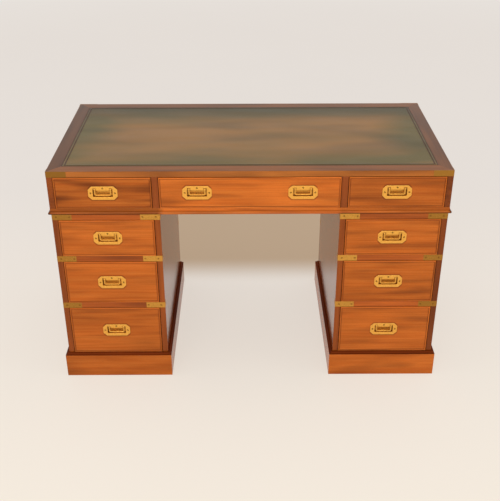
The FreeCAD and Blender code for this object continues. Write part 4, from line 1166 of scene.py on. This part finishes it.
class DESK_OT_pulls(bpy.types.Operator):
    """Clipped brass plates with a finger cup and three screws"""

    bl_idname = "desk.pulls"
    bl_label = "Pulls"

    def execute(self, context):
        sizes = context.scene.desk_sizes
        reach, rise = sizes.plate_screw_reach, sizes.plate_screw_rise
        for name in DRAWERS:
            centres = pull_centres(name, sizes)
            low, high = span(f"{name}_drawer_pull")
            skin = Skin()
            for centre in centres:
                self.lay_plate(skin, centre, (high[2] - low[2]) / 2, sizes)
            spots = np.array([centre + shift for centre in centres
                              for shift in ((-reach, 0, 0), (reach, 0, 0), (0, 0, rise))])
            facing = np.broadcast_to((0.0, -1.0, 0.0), spots.shape)
            screw_heads(skin, spots, facing, sizes, draw(f"{name}_screws"), PLATE_SCREW_SHADE_TONE)
            settle(skin, f"{name}_pull_plate", f"{name}_drawer", "brass", f"{name}_drawer_pull")
        return {"FINISHED"}

    def lay_plate(self, skin, centre, half_height, sizes):
        """The clipped outline and the cup's outline, point for point, carried in twelve rings: from the
        cup's back out to the plate's edge, over its bevel, in across the face and down into the cup."""
        wide, clip = sizes.plate_width / 2, sizes.plate_corner
        cup, top, ear = sizes.cup_width / 2, sizes.cup_rise, sizes.cup_rise + sizes.ear_height
        floor, slot = top - sizes.cup_height, cup - sizes.ear_width
        soft = sizes.plate_bevel * 2
        outer = ((-wide, clip - half_height), (clip - wide, -half_height), (wide - clip, -half_height),
                 (wide, clip - half_height), (wide, half_height - clip), (wide - clip, half_height),
                 (slot, half_height), (slot / 2, half_height), (-slot / 2, half_height), (-slot, half_height),
                 (clip - wide, half_height), (-wide, half_height - clip))
        inner = ((-cup, floor + soft), (soft - cup, floor), (cup - soft, floor), (cup, floor + soft),
                 (cup, ear - soft), (cup - soft, ear), (slot, ear), (slot, top), (-slot, top), (-slot, ear),
                 (soft - cup, ear), (-cup, ear - soft))
        clipped = rounded(outer, clip / 6)
        cut, ear_cut = soft * CUP_ROUNDING, soft * EAR_ROUNDING
        hollow = rounded(inner, (*(6 * [cut]), 2 * cut, ear_cut, ear_cut, 2 * cut, cut, cut))
        bevel, deep = sizes.plate_bevel, sizes.cup_depth
        part = BEVEL_MIDDLE * bevel

        # Each ring's outline, how far it lies inside that, its depth, its normals' lean and its tone
        table = (
            (hollow, -sizes.cup_wall, deep + sizes.cup_wall, -45, 0.0),
            (hollow, -sizes.cup_wall, sizes.plate_thickness, 0, 0.0),
            (clipped, 0, sizes.plate_thickness, -45, 0.0),
            (clipped, 0, bevel, 0, -0.3),
            (clipped, part, part, 45, 0.0),
            (clipped, bevel, 0, 90, 0.0),
            (hollow, -bevel, 0, 90, 0.0),
            (hollow, -part, part, 135, 0.0),
            (hollow, 0, bevel, 180, -0.3),
            (hollow, 0, deep - bevel, 180, -1.4),
            (hollow, part, deep - part, 135, -1.5),
            (hollow, 2 * bevel, deep, 90, -0.45),
        )
        shapes, *columns = zip(*table)
        insets, depths, leans, tones = (np.array(column)[:, None] for column in columns)
        outline, facing = (np.stack([shape[item] for shape in shapes]) for item in (0, 1))
        plan = outline - insets[..., None] * facing
        flat = np.cos(np.radians(leans))[..., None] * facing
        rings = joined(plan[..., 0], depths, plan[..., 1]) + centre
        skin.tubes(rings, joined(flat[..., 0], -np.sin(np.radians(leans)), flat[..., 1]), tone=tones)


# A bail's bend, the stops of its swell along the bar, the swell itself and its section's softness

BAIL_BEND = 1.6
BAIL_STOPS = np.array((-0.35, 0, 0.35))
BAIL_SWELL = 1.1
BAIL_SOFTNESS = 0.62
BAIL_TONE, EYE_TONE, PIN_TONE = -0.15, -0.2, -0.6

# An eye's places along its pin, and its radius there

EYE_PLACES = np.array((-1, -0.9, 0.9, 1))
EYE_RADII = np.array((0.85, 1, 1, 0.85))


class DESK_OT_bails(bpy.types.Operator):
    """Bails that hang in the finger cups, with their eyes and pins"""

    bl_idname = "desk.bails"
    bl_label = "Bails"

    def execute(self, context):
        for joint in frame["joints"]:
            if joint["type"] == "hinge":
                self.hang(joint["child"], np.array(joint["pos_m"]), context.scene.desk_sizes)
        return {"FINISHED"}

    def hang(self, name, pivot, sizes):
        """A soft-edged section carried down one arm, round the corner, along the bar, which swells a
        little towards its middle, and up the other arm."""
        low = span(name)[0][2]
        arm, bar, deep = sizes.bail_arm / 2, sizes.bail_bar / 2, sizes.bail_thickness / 2
        reach, foot = sizes.bail_width / 2 - arm, low + bar - pivot[2]
        line, outward = rounded(((-reach, 0), (-reach, foot), (reach, foot), (reach, 0)), BAIL_BEND * arm, 5)
        turn = len(line) // 4
        left, right = slice(turn, 2 * turn), slice(2 * turn, 3 * turn)
        path = np.concatenate((((-reach, 0),), line[left], joined(BAIL_STOPS * reach, foot), line[right],
                               ((reach, 0),)))
        normal = np.concatenate((((-1, 0),), outward[left], len(BAIL_STOPS) * [(0, -1)], outward[right],
                                 ((1, 0),)))
        half = np.where(np.abs(normal[:, 1]) > 0.5, bar, arm)
        half[len(half) // 2] *= BAIL_SWELL
        section, leaning = rounded(oblong(-1, -1, 1, 1), BAIL_SOFTNESS)
        plane = path[:, None] + normal[:, None] * (half[:, None] * section[:, 0])[..., None]
        rings = joined(plane[..., 0], deep * section[:, 1], plane[..., 1]) + pivot
        flat = normal[:, None] * leaning[:, :1]
        skin = Skin()
        skin.tubes(rings, joined(flat[..., 0], leaning[:, 1], flat[..., 1]), tone=BAIL_TONE)
        eye = min(sizes.bail_eye, deep)
        for sign in SIGNS:
            centre = pivot + (sign * reach, 0, 0)
            turned(skin, centre, EYE_PLACES * arm, EYE_RADII * eye, EYE_TONE)
            pin = sign * arm, sign * (sizes.cup_width / 2 - reach)
            turned(skin, centre, pin, 2 * (sizes.pin_radius,), PIN_TONE)
        settle(skin, f"{name}_handle", name, "brass", name)


class DESK_OT_linings(bpy.types.Operator):
    """Dry wood of the drawer boxes, runners, bottoms, pegs and the panel under the leather"""

    bl_idname = "desk.linings"
    bl_label = "Linings"

    def execute(self, context):
        woods = {f"{name}_drawer_box": "lining" for name in DRAWERS}
        hidden = "drawer_runners", "pedestal_bottoms", "locating_pegs", "top_panel"
        woods.update({name: "carcase" for name in hidden})
        for node, wood in woods.items():
            for slot in frame["nodes"][node].material_slots:
                slot.material = finish(wood)
        return {"FINISHED"}


# Stage

FLOOR_POINTS = 64
FLOOR_RADII = (0.5, 2.0, 6.0, 24.0)
FLOOR_DROP = 0.5 * MM
FLOOR_RELIEF = 0.01 * MM
LAMP_AIM = (0, 0, 0.4)
LAMPS = (
    ("key", (-0.7, -5.6, 2.1), (5.0, 2.4), "key_power"),
    ("left_fill", (-4.2, -0.6, 2.6), (3.0, 3.0), "fill_power"),
    ("right_fill", (4.2, -0.6, 2.6), (3.0, 3.0), "fill_power"),
)

# Where the floor starts to take its far colour and has it, in metres behind the desk's middle

FAR_FLOOR = {"From Min": -1.6, "From Max": 1.2}

# How far off the haze starts and is full, in metres

HAZE = {"From Min": 4.0, "From Max": 10.0}

# Where the floor's shading starts and is full: from the desk, from its far end, from its sides, by the view

SHADED_EDGES = ((0.28, 0.5), (1.9, 1.2), (0.8, 0.3), (0.0, -0.4))


def looked_at(tree):
    """One where the camera looks, also in a reflection, and nought where only light arrives."""
    path = add(tree, "LightPath")
    seen = path.outputs["Is Camera Ray"]
    for ray in ("Is Glossy Ray", "Is Transmission Ray"):
        seen = add(tree, "Math", (seen, path.outputs[ray]), operation="MAXIMUM")
    return seen


class DESK_OT_stage(bpy.types.Operator):
    """Pale floor, soft lamps and the camera"""

    bl_idname = "desk.stage"
    bl_label = "Stage"

    def execute(self, context):
        scene = context.scene
        scene.view_settings.view_transform = "Standard"
        self.lay_floor(scene)
        self.light_world(scene)
        for name, place, size, power in LAMPS:
            lamp = bpy.data.lights.new(name, "AREA")
            lamp.shape = "RECTANGLE"
            lamp.size, lamp.size_y = size
            lamp.energy = getattr(scene.desk_stage, power)
            holder = bpy.data.objects.new(name, lamp)
            holder.location = place
            aim = Vector(LAMP_AIM) - Vector(place)
            holder.rotation_euler = aim.to_track_quat("-Z", "Y").to_euler()
            holder.visible_camera = False
            scene.collection.objects.link(holder)
        self.set_camera(scene)
        return {"FINISHED"}

    def lay_floor(self, scene):
        """Circles that widen from the middle of the floor. Its paint is lit in part and glows in part. Close
        behind the desk it is shaded for a viewer in front, as a wall is there, and far off it takes the
        colour of the surroundings."""
        rings = np.reshape(FLOOR_RADII[::-1], (-1, 1, 1)) * joined(*circle(FLOOR_POINTS), 0)
        skin = Skin()
        skin.tubes(rings - (0, 0, FLOOR_DROP), (0.0, 0.0, 1.0), caps=(False, True))
        colours, glow_share = scene.desk_colours, scene.desk_stage.floor_glow
        material = bpy.data.materials.new("pale_painted_floor")
        tree = empty_tree(material)
        place = add(tree, "TexCoord").outputs["Object"]
        clouds = add(tree, "TexNoise", {"Vector": place, "Scale": 1.3})
        shade = add(tree, "MapRange", {"Value": clouds, "To Min": 0.97, "To Max": 1.03})
        parts = add(tree, "SeparateXYZ", (place,)).outputs
        far = add(tree, "MapRange", {"Value": parts[1], **FAR_FLOOR})
        sideways = add(tree, "Math", (parts[0],), operation="ABSOLUTE")
        geometry = add(tree, "NewGeometry")
        viewer = add(tree, "SeparateXYZ", (geometry.outputs["Incoming"],)).outputs
        shaded = 1.0
        for value, (start, end) in zip((parts[1], parts[1], sideways, viewer[1]), SHADED_EDGES):
            share = add(tree, "MapRange", {"Value": value, "From Min": start, "From Max": end},
                        interpolation_type="SMOOTHSTEP")
            shaded = add(tree, "Math", (shaded, share), operation="MULTIPLY")
        away = add(tree, "VectorMath", (place,), operation="LENGTH")
        haze = add(tree, "MapRange", {"Value": away, **HAZE}, interpolation_type="SMOOTHSTEP")
        plain = colours.floor
        for share, over in ((far, colours.floor_far), (shaded, colours.floor_shaded),
                            (haze, colours.backdrop)):
            plain = add(tree, "Mix", {0: share, 6: plain, 7: over}, data_type="RGBA")
        own = add(tree, "MapRange", {"Value": haze, "To Min": glow_share})
        glow = add(tree, "Math", (looked_at(tree), own), operation="MULTIPLY")
        rest = add(tree, "Math", (1.0, glow), operation="SUBTRACT")
        lit = add(tree, "Math", (shade, rest), operation="MULTIPLY")
        paint = add(tree, "VectorMath", {0: plain, "Scale": lit}, operation="SCALE")
        show(tree, paint, clouds, FLOOR_RELIEF, 0.7, Specular_IOR_Level=0.0, Emission_Color=plain,
             Emission_Strength=glow)
        skin.mesh_object("floor", material)

    def light_world(self, scene):
        """The surroundings light the desk softly, and look pale to the camera and in reflections."""
        world = bpy.data.worlds.new("pale_surroundings")
        tree = empty_tree(world)
        strength = add(tree, "MapRange", {"Value": looked_at(tree), "To Min": scene.desk_stage.ambient})
        sky = add(tree, "Background", {"Color": scene.desk_colours.backdrop, "Strength": strength})
        add(tree, "OutputWorld", {"Surface": sky})
        scene.world = world

    def set_camera(self, scene):
        """Forward from the yaw and pitch, and then a roll about it."""
        stage = scene.desk_stage
        turn, dip, lean = stage.yaw, stage.pitch, stage.roll
        forward = np.array((np.sin(turn) * np.cos(dip), np.cos(turn) * np.cos(dip), -np.sin(dip)))
        level = np.array((np.cos(turn), -np.sin(turn), 0))
        down = np.cross(forward, level)
        right = np.cos(lean) * level + np.sin(lean) * down
        up = np.sin(lean) * level - np.cos(lean) * down
        lens = bpy.data.cameras.new("camera")
        lens.lens = stage.lens
        camera = bpy.data.objects.new("camera", lens)
        axes = np.eye(4)
        axes[:3] = np.stack((right, up, -forward, np.array(stage.camera_place)), axis=1)
        camera.matrix_world = Matrix(axes.tolist())
        scene.collection.objects.link(camera)
        scene.camera = camera


OPERATORS = (DESK_OT_stage, DESK_OT_top, DESK_OT_frieze, DESK_OT_pedestals, DESK_OT_plinths, DESK_OT_straps,
             DESK_OT_fronts, DESK_OT_pulls, DESK_OT_bails, DESK_OT_linings)


class DESK_PT_panel(bpy.types.Panel):
    """Buttons for the desk's pieces, and its sizes and colours"""

    bl_idname = "DESK_PT_panel"
    bl_label = "Campaign Desk"
    bl_space_type = "VIEW_3D"
    bl_region_type = "UI"
    bl_category = "Desk"

    def draw(self, context):
        for operator in OPERATORS:
            self.layout.operator(operator.bl_idname)
        for group in (context.scene.desk_stage, context.scene.desk_sizes, context.scene.desk_colours):
            box = self.layout.box()
            for name in group.bl_rna.properties.keys():
                if name not in ("rna_type", "name"):
                    box.prop(group, name)


GROUPS = {"desk_sizes": DeskSizes, "desk_colours": DeskColours, "desk_stage": DeskStage}


def register():
    for kind in (*GROUPS.values(), *OPERATORS, DESK_PT_panel):
        bpy.utils.register_class(kind)
    for name, kind in GROUPS.items():
        setattr(bpy.types.Scene, name, bpy.props.PointerProperty(type=kind))


def unregister():
    for name in GROUPS:
        delattr(bpy.types.Scene, name)
    for kind in (DESK_PT_panel, *OPERATORS[::-1], *GROUPS.values()):
        bpy.utils.unregister_class(kind)


def main():
    register()
    bpy.ops.desk.stage()
    bpy.ops.desk.top()
    bpy.ops.desk.frieze()
    bpy.ops.desk.pedestals()
    bpy.ops.desk.plinths()
    bpy.ops.desk.straps()
    bpy.ops.desk.fronts()
    bpy.ops.desk.pulls()
    bpy.ops.desk.bails()
    bpy.ops.desk.linings()


if __name__ == "__main__":
    main()
